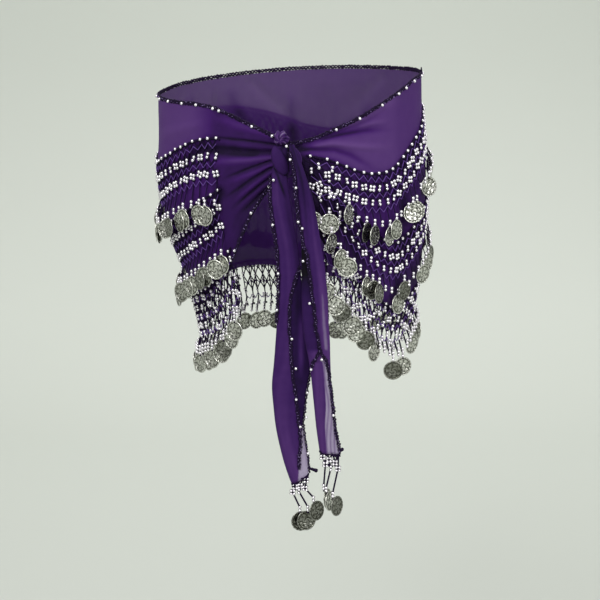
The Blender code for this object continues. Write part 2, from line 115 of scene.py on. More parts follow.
# The crochet: how far each row hangs below its beaded line
MESH_ROW = 8.0
FIRST_CLUSTER = 16.0
SECOND_MESH_ROW = 24.0
SECOND_CLUSTER = 32.0
STRING_ROOT = 41.0
ZIGZAGS = (7.0, 24.0, 40.0)
OPEN_CLUSTERS = (6.5, 15.0, 23.5, 32.0, 40.5, 48.0)
BETWEEN_CLUSTERS = (9.0, 37.0)
ZIGZAG_HALF = 2.8
COIN_DROP = 69.0
# A cluster's beads stand this far from its middle, in bead radii, and its knots this far up and down
CLUSTER_ACROSS = 1.06
CLUSTER_UP = 1.04
CLUSTER_KNOTS = (-4.4, 0.0, 4.4)
# A coin hangs from this share of its radius above its middle
COIN_EYE = 0.86

# The edgings: the way from one stitch to the next round the hips, on the ties and in their end tufts
HIP_STITCH = 2.05
TIE_STITCH = 1.6
TUFT_STITCH = 1.1
# Distances round to the beads on the top edge, listed near the knot and then about this far apart
TOP_BEADS = (779.0, 817.0, 839.0, 50.0, 77.0, 106.0, 132.0, 146.0, 165.0)
TOP_BEAD_STEP = 25.0
LOWER_BEADS = (785.0, 813.0, 834.0)
BARE_START = 780.3

# A cluster has two beads instead of four where its uneven value is above this, for each tier
THIN_ABOVE = (0.3, -0.2, -0.5)
# Beads on each string, and a thread's radius as a share of the thread's thickness, for each tier
STRING_BEADS = (2, 2, 3)
THREAD_SHARE = (0.6, 0.6, 1.0)

# One string of this many ends in its beads, without a coin
COIN_EVERY = 3
# How many degrees a coin may be turned from lying flat, either way
COIN_TWIST = 20.0
# The coins of the scallop beside the knot, which hang as they were left: distance round to the string,
# how far the coin is raised, its facing in degrees round from the front, and its tone from dark to bright.
# A dark tone is painted dim reflection and shade.
Hung = namedtuple("Hung", "along rise facing tone")
HUNG_COINS = {
    1: rows_of(Hung, (
        (18, 0, 12, 0.35), (36, 1, 2, 0.95), (57, 18, 60, 1.0), (77, 4, 62, 0.12), (86, 2, 60, 1.0),
        (106, -1, 60, 1.0), (114, 2, 54, 0.95), (141, 0, 14, 1.0), (150, -4, 30, 0.9), (175, 0, 36, 0.85),
        (203, 0, 80, 0.6), (222, 0, 104, 0.8),
    )),
    2: rows_of(Hung, (
        (40, 2, 58, 0.8), (49, -3, 50, 0.8), (56, -2, 4, 0.95), (77, 0, 60, 1.0), (84, 3, 46, 0.5),
        (94, 6, 62, 0.25), (126, -2, 50, 0.95), (134, 10, 48, 0.1), (168, 0, 44, 0.8), (185, -1, 56, 0.9),
        (194, 0, 66, 0.1), (222, 0, 96, 0.8),
    )),
    3: rows_of(Hung, (
        (30, -12, 8, 0.75), (41, -12, 10, 0.85), (48, -6, 4, 0.12), (59, -3, 14, 0.35), (66, -1, 20, 0.8),
        (79, 5, 16, 0.12), (93, 4, 52, 0.9), (128, -4, 2, 0.1), (146, -6, 24, 0.4), (174, 2, 48, 0.9),
        (194, 0, 70, 0.5), (216, 0, 100, 0.8),
    )),
}

# Creases in the cloth: soft ridges and troughs along lines of distances round and heights. dark deepens the
# colour there, painted shade in the troughs with some real depth from extra layers of the sheer cloth, and a
# negative dark makes it paler, a painted highlight on the ridges.
Crease = namedtuple("Crease", "points rise width dark")
CREASES = rows_of(Crease, (
    # the bare stretch, gathered into the knot
    (((858, 27), (818, 38), (760, 54)), 1.2, 4.4, -0.40),
    (((858, 21), (837, 24), (810, 27), (750, 31)), -1.3, 1.5, 0.42),
    (((858, 18), (820, 20), (770, 25)), 0.8, 2.6, -0.10),
    (((862, 14), (837, 15), (813, 15), (740, 18)), -2.0, 4.4, 0.20),
    (((826, 13), (800, 15), (775, 16), (730, 18)), -0.8, 5.6, 0.42),
    (((858, 10), (835, 9), (813, 6), (760, 2)), 1.8, 3.2, -0.80),
    (((858, 8), (835, 6), (816, -1), (774, -18)), -1.2, 1.2, 0.50),
    (((858, 6), (836, 1), (818, -7), (780, -22)), 0.9, 2.4, -0.50),
    (((858, 4), (835, -2), (817, -13), (776, -40)), -1.3, 1.4, 0.50),
    (((858, 1), (836, -7), (815, -22), (784, -46)), 1.3, 2.4, -0.35),
    (((858, -2), (837, -11), (820, -23), (786, -50)), -1.5, 1.4, 0.45),
    (((858, -5), (835, -16), (810, -36), (780, -62)), 1.3, 2.6, -0.15),
    (((857, -8), (830, -25), (792, -58)), -1.3, 1.6, 0.35),
    (((856, -10), (820, -42), (784, -82)), 1.3, 3.6, 0.05),
    (((850, -16), (818, -56), (788, -96)), -1.4, 3.0, 0.30),
    # the wearer's left hip
    (((-20, 15), (14, 23), (42, 31), (70, 35), (132, 41)), -1.9, 4.8, 0.52),
    (((12, 28), (40, 38), (72, 47), (108, 60)), 0.9, 2.8, -0.40),
    (((30, 30), (54, 37), (84, 45), (122, 60)), -0.7, 2.2, 0.26),
    (((30, 27), (58, 33), (86, 36), (132, 35)), -0.8, 2.4, 0.28),
    (((76, 41), (96, 44), (120, 46)), 0.6, 2.2, -0.30),
    (((-20, 17), (20, 18), (48, 17), (66, 11), (84, 0), (112, -14)), -1.6, 3.6, 0.62),
    (((20, 21), (46, 24), (84, 19), (128, 16)), 1.8, 3.8, -0.30),
    (((20, 11), (48, 7), (76, -6)), 0.9, 3.4, 0.20),
    (((60, 50), (104, 62), (150, 70)), 1.0, 5.0, -0.25),
    (((4, 8), (14, -8), (30, -36), (60, -72)), -3.0, 4.4, 0.75),
    (((10, 2), (50, -92)), 2.6, 7.0, 0.1),
    (((26, 4), (98, -96)), 2.2, 8.0, 0.0),
    # a deep trough beside the ties, its dark mostly painted shadow
    (((12, -28), (22, -62), (30, -98), (44, -160)), -3.2, 6.5, 0.95),
    (((40, -20), (88, -150)), -2.0, 8.0, 0.25),
    (((104, -30), (118, -160)), 1.6, 9.0, 0.0),
    (((134, -20), (128, -168)), -1.6, 8.0, 0.15),
    (((176, 40), (150, -120)), 1.6, 11.0, 0.0),
    (((204, 60), (196, -120)), -1.8, 9.0, 0.2),
    # the back
    (((236, 70), (300, -110)), 2.0, 10.0, 0.0),
    (((262, 84), (352, -60)), -1.8, 9.0, 0.25),
    (((300, 90), (376, 30)), 1.4, 9.0, -0.1),
    (((330, 60), (344, -150)), -1.8, 10.0, 0.25),
    (((384, 80), (380, -150)), 1.8, 13.0, 0.0),
    (((430, 70), (424, -140)), -1.9, 9.0, 0.25),
    (((486, 84), (404, 10)), 1.5, 9.0, -0.1),
    (((512, 76), (440, -70)), -1.8, 10.0, 0.25),
    (((530, 70), (470, -130)), 2.0, 11.0, 0.0),
    # the wearer's right hip
    (((560, 70), (600, -80)), -1.7, 9.0, 0.25),
    (((590, 60), (640, -130)), 1.8, 11.0, 0.0),
    (((650, 50), (654, -150)), -1.8, 8.0, 0.25),
    (((760, 44), (664, 20)), 1.5, 7.0, -0.1),
    (((770, 30), (680, -40)), -1.8, 7.0, 0.3),
    (((780, 10), (700, -100)), 2.0, 9.0, 0.0),
    (((782, -20), (730, -120)), -2.2, 8.0, 0.4),
))

Tie = namedtuple("Tie", "height left right depth")
LEFT_TIE = rows_of(Tie, (
    (8, -18, -6, -128.6), (-2, -19.5, -4.5, -131.4), (-12, -21, -4, -134.8), (-33, -21.5, -1.0, -137.0),
    (-60, -18.5, 3, -137.0), (-87, -14.5, 7.5, -137.0), (-120, -13, 10.8, -137.0),
    (-163, -15, 13.8, -137.0), (-185, -16.5, 17, -137.0), (-205, -18, 19.8, -137.0),
    (-216, -19, 20.8, -137.0), (-236, -20.8, 17.2, -137.0), (-264, -19, 13.6, -137.0),
    (-280, -17.4, 11.8, -137.0), (-292, -15.5, 12.8, -137.0), (-315, -9.5, 16.6, -137.0),
    (-341, 0.4, 18.8, -137.0),
))
RIGHT_TIE = rows_of(Tie, (
    (25, -4, 3, -134.0), (14, -1.5, 7.5, -137.2), (4, 1.5, 11.5, -140.4), (-6, 4.5, 15, -143.2),
    (-20, 6.5, 19.8, -144.8), (-44, 9, 25.5, -145.0), (-76, 11, 31, -145.0), (-108, 11.6, 36, -145.0),
    (-141, 11.6, 39.3, -145.0), (-163, 12.4, 40, -145.0), (-185, 15, 41.5, -145.0), (-205, 19, 42, -145.0),
    (-219, 21, 42.5, -145.0), (-253, 24.6, 44.6, -145.0), (-287, 28, 49, -145.0),
    (-313, 31.5, 53.2, -145.0),
))
TIES = {"left": LEFT_TIE, "right": RIGHT_TIE}
# Half the thickness of a tie, and its faces round the folded band
TIE_HALF = 1.9
TIE_COLUMNS = 52
# How much lower a tie's hem is at its left corner than at its right
HEM_SLANT = {"left": 9.0, "right": -1.5}
Spot = namedtuple("Spot", "x height")
LEFT_FREE_EDGE = rows_of(Spot, (
    (9.4, -104), (4.0, -120), (-0.6, -140), (-2.0, -160), (-1.0, -190), (0.9, -219), (2.7, -234),
    (6.3, -264), (8.5, -283), (10.0, -299), (8.6, -318), (7.4, -341),
))
RIGHT_FREE_EDGE = rows_of(Spot, (
    (-1.6, 17), (-0.2, 10), (2.7, -2), (4.1, -20), (6.0, -38), (7.6, -56), (11.1, -66), (12.4, -79),
    (16.9, -91), (19.5, -111), (21.5, -130), (24.8, -150), (26.1, -172), (28.7, -182), (30.9, -196),
))
RIGHT_LOW_EDGE = rows_of(Spot, (
    (30.9, -196), (33.4, -208), (35.8, -232), (37.4, -256), (36.6, -278), (38.4, -313),
))
RIGHT_VEE_RIGHT = rows_of(Spot, (
    (30.9, -196), (36.5, -205), (39.7, -214), (41.9, -232), (44.4, -250), (46.0, -268), (48.4, -287),
    (53.4, -309),
))
RIGHT_VEE_LEFT = rows_of(Spot, (
    (30.9, -196), (27.4, -203), (24.5, -207), (21.0, -216),
))
# The knots in each tie's small net, in two rows: share across the hem, and drop below it
END_KNOTS = {
    "left": (((0.12, 6.5), (0.50, 8.5), (0.94, 4.5)), ((-0.06, 15.0), (0.40, 16.0), (0.86, 14.0))),
    "right": (((0.06, 4.5), (0.44, 7.0), (0.80, 10.0)), ((0.22, 12.5), (0.55, 16.5), (0.98, 17.0))),
}
Charm = namedtuple("Charm", "x height turn lean tone")
# A charm's tone runs from dark to bright; its dark tones are painted dim reflection and shade.
TIE_COINS = {
    "left": rows_of(Charm, (
        (10.5, -394.5, 14.0, 8.0, 0.05), (16.4, -393.0, 20.0, -10.0, 0.12), (28.0, -380.5, 44.0, 22.0, 0.05),
    )),
    "right": rows_of(Charm, (
        (39.8, -365.0, 68.0, 26.0, 0.3), (42.4, -367.0, 64.0, 26.0, 0.6), (50.2, -372.0, 54.0, 30.0, 0.0),
    )),
}

# The leaf-shaped turn of the knot, from its tip at the bottom to its point at the top
LEAF_HEIGHTS = (-7.5, -6.2, -4.1, 0.1, 4.3, 10.6, 13.8, 18.0, 22.2, 24.3)
LEAF_LEFT = (-7.5, -10.1, -13.3, -16.9, -19.3, -21.2, -21.4, -20.8, -19.0, -17.5)
LEAF_RIGHT = (-6.0, -4.5, -2.7, -2.2, -2.6, -4.8, -6.8, -9.6, -13.8, -17.3)

NUMBER = {"left": 0, "back": 1, "right": 2}
BANDS = [(scallop, tier) for scallop in SCALLOPS for tier in TIERS]

# Shade of the gathers and of one plain layer. The gathers' shade is deep for their bunched layers and holds
# painted shade too.
GATHER_SHADE = 0.83
PLAIN_SHADE = 0.28

# Directions, and the way from a bead to the dark stitch behind it, which shows round the bead as a dark
# outline: partly the knot the bead sits on, partly painted shade.
UP = np.array([[0.0, 0.0, 1.0]])
FORWARD = np.array([[0.0, -1.0, 0.0]])
BEHIND_BEAD = np.array([[0.0, 0.9, 0.0]])

# The stage, in metres and degrees. The camera looks down by its tilt, and the lights at the lit spot. The
# backdrop is a floor, a bend of 1 m radius and a wall.
BACKDROP_HALF = 7.0
BACKDROP_FRONT = -3.0
FLOOR_DEPTH = 4.6
WALL_HEIGHT = 4.0
BEND_STEPS = 12
SENSOR_WIDTH = 36.0
CAMERA_VIEW = 24.96
CAMERA_AT = (0.0094, -1.56504, 0.16166)
CAMERA_TILT = 12
LIT_SPOT = (0, 0, -0.15)
Light = namedtuple("Light", "name place size power")
LIGHTS = rows_of(Light, (
    ("Key light", (-1.1, -2.0, 1.7), 1.6, 46),
    ("Fill light", (1.9, -1.5, 0.7), 1.5, 22),
    ("Back light", (0.4, 1.7, 1.6), 1.2, 18),
))


def points_of(x, y, z):
    """Points from their three coordinates, each one value or many."""
    return np.stack(np.broadcast_arrays(x, y, z), axis=-1)


def unit(vectors):
    return vectors / np.linalg.norm(vectors, axis=-1, keepdims=True)


def swung(first, second, angle):
    """Directions turned by an angle from the first towards the second."""
    return first * np.cos(angle)[:, None] + second * np.sin(angle)[:, None]


def mixed(first, second, share):
    return first * (1 - share) + second * share


class Curve:
    """A smooth curve through the rows of a short table, for one value or for many."""

    def __init__(self, xs, ys):
        self.xs = np.array(xs, float)
        self.ys = np.array(ys, float)
        self.slopes = np.gradient(self.ys, self.xs)

    def __call__(self, x):
        x = np.clip(np.asarray(x, float), self.xs[0], self.xs[-1])
        k = np.clip(np.searchsorted(self.xs, x) - 1, 0, len(self.xs) - 2)
        gap = self.xs[k + 1] - self.xs[k]
        t = (x - self.xs[k]) / gap
        start = self.ys[k] * (1 + 2 * t) * (1 - t) ** 2 + self.slopes[k] * gap * t * (1 - t) ** 2
        end = self.ys[k + 1] * t * t * (3 - 2 * t) + self.slopes[k + 1] * gap * t * t * (t - 1)
        return start + end


def curve_of(rows, key, column):
    """The smooth curve of one column of a table against another."""
    rows = sorted(rows, key=lambda row: getattr(row, key))
    return Curve([getattr(row, key) for row in rows], [getattr(row, column) for row in rows])


def girth_table(steps=2000):
    """Angles round the hips, and the distance round to each, starting at the front."""
    angles = np.linspace(0, 2 * math.pi, steps + 1)
    speed = np.hypot(GIRTH_WIDTH * np.cos(angles), GIRTH_DEPTH * np.sin(angles))
    pieces = (speed[1:] + speed[:-1]) / 2 * np.diff(angles)
    return angles, np.concatenate(([0.0], np.cumsum(pieces)))


ANGLES, DISTANCES = girth_table()
ROUND = float(DISTANCES[-1])
CENTRE_X = curve_of(HIPS, "height", "centre_x")
HALF_WIDTH = curve_of(HIPS, "height", "half_width")
HALF_DEPTH = curve_of(HIPS, "height", "half_depth")
TOP = curve_of(TOP_EDGE, "along", "height")
TIE_CURVES = {side: [curve_of(rows, "height", column) for column in ("left", "right", "depth")]
              for side, rows in TIES.items()}


def wobble(k, seed=0.0):
    """An uneven value from -1 to 1 for each whole number, the same ones each time."""
    value = np.sin(np.asarray(k, float) * 12.9898 + seed * 78.233) * 43758.5453
    return 2 * (value - np.floor(value)) - 1


def soft_step(low, high, value):
    """0 below low, 1 above high, and a smooth rise between."""
    t = np.clip((np.asarray(value, float) - low) / (high - low), 0, 1)
    return t * t * (3 - 2 * t)


def crease_values(along, height):
    """How far the creases lift the cloth at many places, and how much they deepen its colour with painted
    shade.
    """
    along = np.asarray(along, float)
    height = np.asarray(height, float)
    lift = np.zeros(np.broadcast(along, height).shape)
    dark = np.zeros_like(lift)
    for crease in CREASES:
        steps = np.diff(np.array(crease.points, float), axis=0)
        lengths = np.hypot(*steps.T)
        nearest = np.full(lift.shape, np.inf)
        share = np.zeros_like(lift)
        for k, ((start_along, start_height), (run, fall)) in enumerate(zip(crease.points, steps)):
            t = ((along - start_along) * run + (height - start_height) * fall) / lengths[k] ** 2
            t = np.clip(t, 0, 1)
            off = np.hypot(along - start_along - t * run, height - start_height - t * fall)
            closer = off < nearest
            nearest = np.where(closer, off, nearest)
            share = np.where(closer, (lengths[:k].sum() + t * lengths[k]) / lengths.sum(), share)
        spread = crease.width * (0.65 + 0.6 * share)
        fade = soft_step(0.0, 0.1, share) * (1 - soft_step(0.55, 1.0, share))
        bump = fade * np.exp(-(nearest / spread) ** 2)
        lift += crease.rise * bump
        dark += crease.dark * bump
    return lift, dark


def ripple(along, height):
    """The slight unevenness of soft cloth."""
    return (0.35 * np.sin(along / 9.0 + 1.3 * np.sin(height / 21.0))
            + 0.25 * np.sin(height / 12.0 + along / 31.0))


def hip_points(along, height, outward, creased=True):
    """Points at distances round the hips and heights, moved outward from the hollow."""
    along = np.asarray(along, float)
    height = np.asarray(height, float)
    angle = np.interp(along, DISTANCES, ANGLES)
    outward = np.asarray(outward, float) + np.zeros(np.broadcast(along, height).shape)
    if creased:
        outward = outward + crease_values(along, height)[0] + ripple(along, height)
    x = CENTRE_X(height) + (HALF_WIDTH(height) + outward) * np.sin(angle)
    y = -(HALF_DEPTH(height) + outward) * np.cos(angle)
    return points_of(x, y, height)


def outward_from(along):
    """The level directions that point straight out of the cloth."""
    angle = np.interp(np.asarray(along, float), DISTANCES, ANGLES)
    return unit(points_of(GIRTH_DEPTH * np.sin(angle), -GIRTH_WIDTH * np.cos(angle), 0.0))


def opened(distance, opening):
    """How far the cloth has opened out at a distance from the knot, from 0 to 1."""
    return 1 - np.exp(-((np.maximum(distance, 0) / opening.reach) ** opening.power))


def cloth_drop(along):
    """Depth of the chiffon below its top edge."""
    along = np.asarray(along, float)
    full = STRIP_DROP + np.zeros_like(along)
    for scallop in SCALLOPS:
        share = np.clip((along - scallop.start) / (scallop.end - scallop.start), 0, 1)
        full -= scallop.hitch * np.sin(math.pi * share)
    spread = opened(along, LEFT_OPENING) * opened(ROUND - along, RIGHT_OPENING)
    return KNOT_DROP + (full - KNOT_DROP) * spread


def hem_drop(scallop, along):
    """Depth of the chiffon's hem, which follows the lowest net's beaded line and meets the bare stretch."""
    below = HEM_BELOW_LINE + HEM_BY_KNOT * (1 - soft_step(30, 80, along))
    hem = np.minimum(cloth_drop(along), line_drop(scallop, TIERS[-1], along) + below)
    bare = soft_step(735, 779, along)
    return mixed(hem, cloth_drop(along), bare)


def line_drop(scallop, tier, along):
    """Depth of a tier's beaded line below the top edge."""
    along = np.asarray(along, float)
    bottom = scallop.bottom - scallop.knot_side * tier.lean
    before = along < bottom
    half = np.where(before, bottom - scallop.start, scallop.end - bottom)
    share = np.minimum(np.abs(along - bottom) / half, 1)
    hitch = scallop.hitch * (tier.number - 1) / (LAST_TIER - 1)
    plain = tier.rise - hitch
    before_rise = tier.knot_rise if scallop.knot_side < 0 else plain
    after_rise = tier.rise if scallop.knot_side > 0 else plain
    rise = np.where(before, before_rise, after_rise)
    full = tier.drop - hitch - rise * (1 - np.cos(math.pi * share ** SCALLOP_ROUND)) / 2
    spread = opened(along, tier.left_opening) * opened(ROUND - along, TIER_OPENING)
    return tier.knot_drop + (full - tier.knot_drop) * spread


# ------------------------------------------------------------
# Shader node groups and materials
# ------------------------------------------------------------


class Graph:
    """Adds nodes to a shader tree. An input takes a plain value or another node's output."""

    def __init__(self, tree):
        self.nodes = tree.nodes
        self.links = tree.links

    def feed(self, node, inputs):
        for label, value in inputs.items():
            if isinstance(value, bpy.types.NodeSocket):
                self.links.new(value, node.inputs[label])
            else:
                node.inputs[label].default_value = value

    def add(self, kind, inputs=None, **settings):
        """A new node's outputs. Its settings are made before its inputs are fed."""
        node = self.nodes.new("ShaderNode" + kind)
        for name, value in settings.items():
            setattr(node, name, value)
        self.feed(node, inputs or {})
        return node.outputs

    def calc(self, operation, *values, clamp=False):
        return self.add("Math", dict(enumerate(values)), operation=operation, use_clamp=clamp)[0]

    def remap(self, value, low, high, to_low=0.0, to_high=1.0, kind="LINEAR"):
        inputs = {"Value": value, "From Min": low, "From Max": high, "To Min": to_low, "To Max": to_high}
        return self.add("MapRange", inputs, interpolation_type=kind)["Result"]

    def blend(self, share, first, second):
        return self.add("Mix", {"Factor": share, "A": first, "B": second}, data_type="RGBA")["Result"]

    def bump(self, height, strength, distance):
        return self.add("Bump", {"Height": height, "Strength": strength, "Distance": distance})["Normal"]

    def axis(self, vector, name):
        return self.add("SeparateXYZ", {0: vector})[name]

    def ramp(self, value, colours):
        """The colour at a value, from a few colours at their places."""
        node = self.nodes.new("ShaderNodeValToRGB")
        self.feed(node, {"Fac": value})
        elements = node.color_ramp.elements
        while len(elements) < len(colours):
            elements.new(0.5)
        for element, (place, colour) in zip(elements, colours):
            element.position = place
            element.color = (*colour, 1)
        return node.outputs["Color"]


def group_of(name, inputs, outputs, wire):
    """The node group of this name, made once. wire takes its graph and inputs, and gives its outputs."""
    group = bpy.data.node_groups.get(name)
    if group is None:
        group = bpy.data.node_groups.new(name, "ShaderNodeTree")
        for label, default in inputs.items():
            kind = "NodeSocketColor" if isinstance(default, tuple) else "NodeSocketFloat"
            socket = group.interface.new_socket(name=label, in_out="INPUT", socket_type=kind)
            socket.default_value = default
        for label in outputs:
            kind = "NodeSocketColor" if label == "Color" else "NodeSocketFloat"
            group.interface.new_socket(name=label, in_out="OUTPUT", socket_type=kind)
        start = group.nodes.new("NodeGroupInput")
        end = group.nodes.new("NodeGroupOutput")
        graph = Graph(group)
        graph.feed(end, wire(graph, start.outputs))
    return group


def new_material(name, wire):
    """A material. wire takes its graph and gives the shader's inputs."""
    material = bpy.data.materials.new(name)
    material.use_nodes = True
    graph = Graph(material.node_tree)
    graph.feed(graph.nodes["Principled BSDF"], wire(graph))
    return material


def material_of(name, wire):
    """The material of this name, made once."""
    return bpy.data.materials.get(name) or new_material(name, wire)


def weave_group():
    """Fine threads of a plain weave on the cloth's own UV map, which is in millimetres."""

    def wire(graph, given):
        uv = graph.add("UVMap", uv_map="Cloth")["UV"]
        waves = []
        for name in ("X", "Y"):
            scaled = graph.calc("DIVIDE", graph.axis(uv, name), given["Thread"])
            waves.append(graph.calc("SINE", graph.calc("MULTIPLY", scaled, 2 * math.pi)))
        noise = graph.add("TexNoise", {"Vector": uv, "Scale": 0.09, "Detail": 3.0})["Fac"]
        uneven = graph.calc("MULTIPLY", noise, given["Unevenness"])
        return {"Height": graph.calc("ADD", graph.calc("MULTIPLY", *waves), uneven), "Mottle": noise}

    return group_of("Plain Weave", {"Thread": 0.9, "Unevenness": 0.3}, ("Height", "Mottle"), wire)


def grain_group():
    """Twisted thread or tarnished metal: a fine noise on the object's own coordinates."""

    def wire(graph, given):
        place = graph.add("TexCoord")["Object"]
        noise = graph.add("TexNoise", {"Vector": place, "Scale": given["Scale"], "Detail": 2.0})["Fac"]
        return {"Color": graph.blend(noise, given["Low"], given["High"]), "Height": noise}

    return group_of("Fine Grain", {"Scale": 900.0, "Low": (0, 0, 0, 1), "High": (1, 1, 1, 1)},
                    ("Color", "Height"), wire)


def relief_group():
    """A generic stamped relief on the coin's UV map, whose middle is at 0.5, 0.5: dots, rays and rings."""

    def wire(graph, given):
        uv = graph.add("UVMap", uv_map="Coin")["UV"]
        x, y = (graph.calc("SUBTRACT", graph.axis(uv, name), 0.5) for name in ("X", "Y"))
        far = graph.calc("SQRT", graph.calc("ADD", *(graph.calc("MULTIPLY", side, side) for side in (x, y))))
        turn = graph.calc("ARCTAN2", y, x)
        curled = graph.calc("ADD", graph.calc("MULTIPLY", turn, 3.0), graph.calc("MULTIPLY", far, 34.0))
        rays, studs = (graph.calc("MULTIPLY", turn, given[name]) for name in ("Rays", "Dots"))
        # each row is a wave round the coin or None for a plain ring, its height, its start and end from the
        # middle, and how soft it is
        height = 0.0
        for wave, tall, low, high, soft in (
                (rays, 0.6, 0.24, 0.35, 0.02), (curled, 0.6, 0.05, 0.20, 0.02),
                (studs, 1.0, 0.425, 0.455, 0.01), (None, 1.0, 0.465, 0.6, 0.008),
                (None, -1.2, 0.375, 0.41, 0.01), (None, -0.8, 0.215, 0.225, 0.01)):
            band = graph.calc("MULTIPLY", graph.remap(far, low - soft, low + soft, kind="SMOOTHSTEP"),
                              graph.remap(far, high + soft, high - soft, kind="SMOOTHSTEP"))
            ridge = graph.calc("MULTIPLY", band, tall)
            if wave is not None:
                ridge = graph.calc("MULTIPLY", ridge, graph.calc("SINE", wave))
            height = graph.calc("ADD", height, ridge)
        return {"Height": height, "Hollows": graph.remap(height, -1.0, 0.0)}

    return group_of("Stamped Rays", {"Rays": 14.0, "Dots": 30.0}, ("Height", "Hollows"), wire)


def cloth_material(name, colours, sheer, full, covers_at, roughness):
    """Matt sheer cloth. Its shade attribute runs from one layer at 0 to the painted dark shadow inside a fold
    at 1.

    colours are shades with their colours. The cloth is sheer at a shade of 0 and full from covers_at on.
    """

    def wire(graph):
        weave = graph.add("Group", {"Thread": 0.9, "Unevenness": 0.3}, node_tree=weave_group())
        mottle = graph.calc("MULTIPLY_ADD", weave["Mottle"], 0.14, -0.07)
        shade = graph.add("Attribute", attribute_name="shade")["Fac"]
        worn = graph.calc("ADD", shade, mottle, clamp=True)
        return {
            "Base Color": graph.ramp(worn, colours),
            "Alpha": graph.remap(worn, 0.0, covers_at, sheer, full),
            "Normal": graph.bump(weave["Height"], 0.1, 0.0002),
            "Roughness": roughness,
            "Specular IOR Level": 0.1,
            "Sheen Weight": 0.03,
            "Sheen Roughness": 0.4,
            "Sheen Tint": (0.62, 0.40, 1.0, 1),
        }

    return material_of(name, wire)


def folded_material():
    """Cloth of the ties and the knot. At a shade of 0 it is one see-through layer."""
    return cloth_material(
        "Tie Chiffon",
        # the colour at 1, near black, is painted shadow inside the ties and in the gaps between them
        ((0.0, (0.44, 0.37, 0.54)), (0.35, (0.072, 0.026, 0.136)), (0.62, (0.034, 0.009, 0.084)),
         (0.85, (0.014, 0.003, 0.040)), (1.0, (0.003, 0.002, 0.005))),
        0.5, 1.0, 0.4, 0.68)


def thread_material(name, low, high):
    def wire(graph):
        inputs = {"Scale": 700.0, "Low": (*low, 1), "High": (*high, 1)}
        grain = graph.add("Group", inputs, node_tree=grain_group())
        return {"Base Color": grain["Color"], "Normal": graph.bump(grain["Height"], 0.5, 0.0003),
                "Roughness": 0.75, "Specular IOR Level": 0.12}

    return material_of(name, wire)


def chain_material():
    return thread_material("Crochet Chain", (0.002, 0.001, 0.006), (0.018, 0.006, 0.045))


def bead_material():
    """Silvered plastic: bright, slightly soft, white where the light falls on it."""
    return material_of("Silver Bead", lambda graph: {
        "Base Color": (0.92, 0.89, 0.94, 1), "Metallic": 0.8, "Roughness": 0.18})


def coin_material():
    """Thin stamped metal, tarnished silver: dark in the hollows, bright on the relief."""

    def wire(graph):
        relief = graph.add("Group", {"Rays": 7.0, "Dots": 18.0}, node_tree=relief_group())
        metal = {"Scale": 110.0, "Low": (0.40, 0.41, 0.33, 1), "High": (1.0, 1.0, 0.96, 1)}
        grain = graph.add("Group", metal, node_tree=grain_group())
        # a low tone darkens a coin: painted dim reflection and shade where listed, random on the rest
        tone_and_painted_dimming = graph.remap(graph.add("Attribute", attribute_name="tone")["Fac"], 0.15, 0.45, 0.32)
        bright = graph.calc("MULTIPLY", graph.calc("POWER", relief["Hollows"], 2.0), tone_and_painted_dimming)
        return {"Base Color": graph.blend(bright, (0.036, 0.038, 0.023, 1), grain["Color"]),
                "Normal": graph.bump(relief["Height"], 0.55, 0.0005), "Metallic": 1.0, "Roughness": 0.24}

    return material_of("Stamped Silver", wire)


def edging_materials():
    return [thread_material("Edging Thread", (0.001, 0.0005, 0.002), (0.022, 0.009, 0.048)), bead_material(),
            thread_material("Edging Highlight", (0.06, 0.03, 0.13), (0.36, 0.27, 0.55))]


# ------------------------------------------------------------
# Meshes
# ------------------------------------------------------------


def add_object(name, data):
    """Put an object in the scene, in place of an old one of its name."""
    old = bpy.data.objects.get(name)
    if old is not None:
        bpy.data.objects.remove(old)
    obj = bpy.data.objects.new(name, data)
    bpy.context.scene.collection.objects.link(obj)
    return obj


def link_object(title, mesh, materials, node):
    """Make the object, let it stand for its solid, and put it on the scarf's one body."""
    for material in materials:
        mesh.materials.append(material)
    obj = add_object(title.replace(" ", "_"), mesh)
    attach(obj, "root")
    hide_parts(node)
    return obj


def primitive_mesh(name, make, **sizes):
    """A mesh that one of bmesh's operators makes, and its points."""
    bm = bmesh.new()
    make(bm, **sizes)
    mesh = bpy.data.meshes.new(name)
    bm.to_mesh(mesh)
    bm.free()
    points = np.empty(len(mesh.vertices) * 3)
    mesh.vertices.foreach_get("co", points)
    return mesh, points.reshape(-1, 3)


def shape_cloth(mesh, points, shade, cut):
    """Move a mesh's points to these, in millimetres, with their shades and their places on the flat cloth."""
    mesh.vertices.foreach_set("co", (points * MM).ravel())
    tone = mesh.attributes.new("shade", "FLOAT", "POINT")
    tone.data.foreach_set("value", np.clip(shade, 0, 1).astype(np.float32))
    owners = np.empty(len(mesh.loops), int)
    mesh.loops.foreach_get("vertex_index", owners)
    layer = mesh.uv_layers.new(name="Cloth")
    layer.data.foreach_set("uv", cut[owners].astype(np.float32).ravel())
    mesh.polygons.foreach_set("use_smooth", [True] * len(mesh.polygons))
    mesh.update()


def cloth_mesh(name, columns, rows, place, shade, flat):
    """A grid of cloth. place and shade take arrays of shares across and down; flat is its cut."""
    mesh, spots = primitive_mesh(name, bmesh.ops.create_grid, x_segments=columns, y_segments=rows, size=0.5)
    across = np.round((spots[:, 0] + 0.5) * columns) / columns
    down = np.round((0.5 - spots[:, 1]) * rows) / rows
    cut = np.stack([across * flat[0], down * flat[1]], axis=1)
    shape_cloth(mesh, place(across, down), shade(across, down), cut)
    return mesh


def thicken(obj, thickness, offset=1.0, rim=True):
    wall = obj.modifiers.new("Cloth thickness", "SOLIDIFY")
    wall.use_rim = rim
    wall.thickness = thickness * MM
    wall.offset = offset


Shape = namedtuple("Shape", "points loops totals uvs")


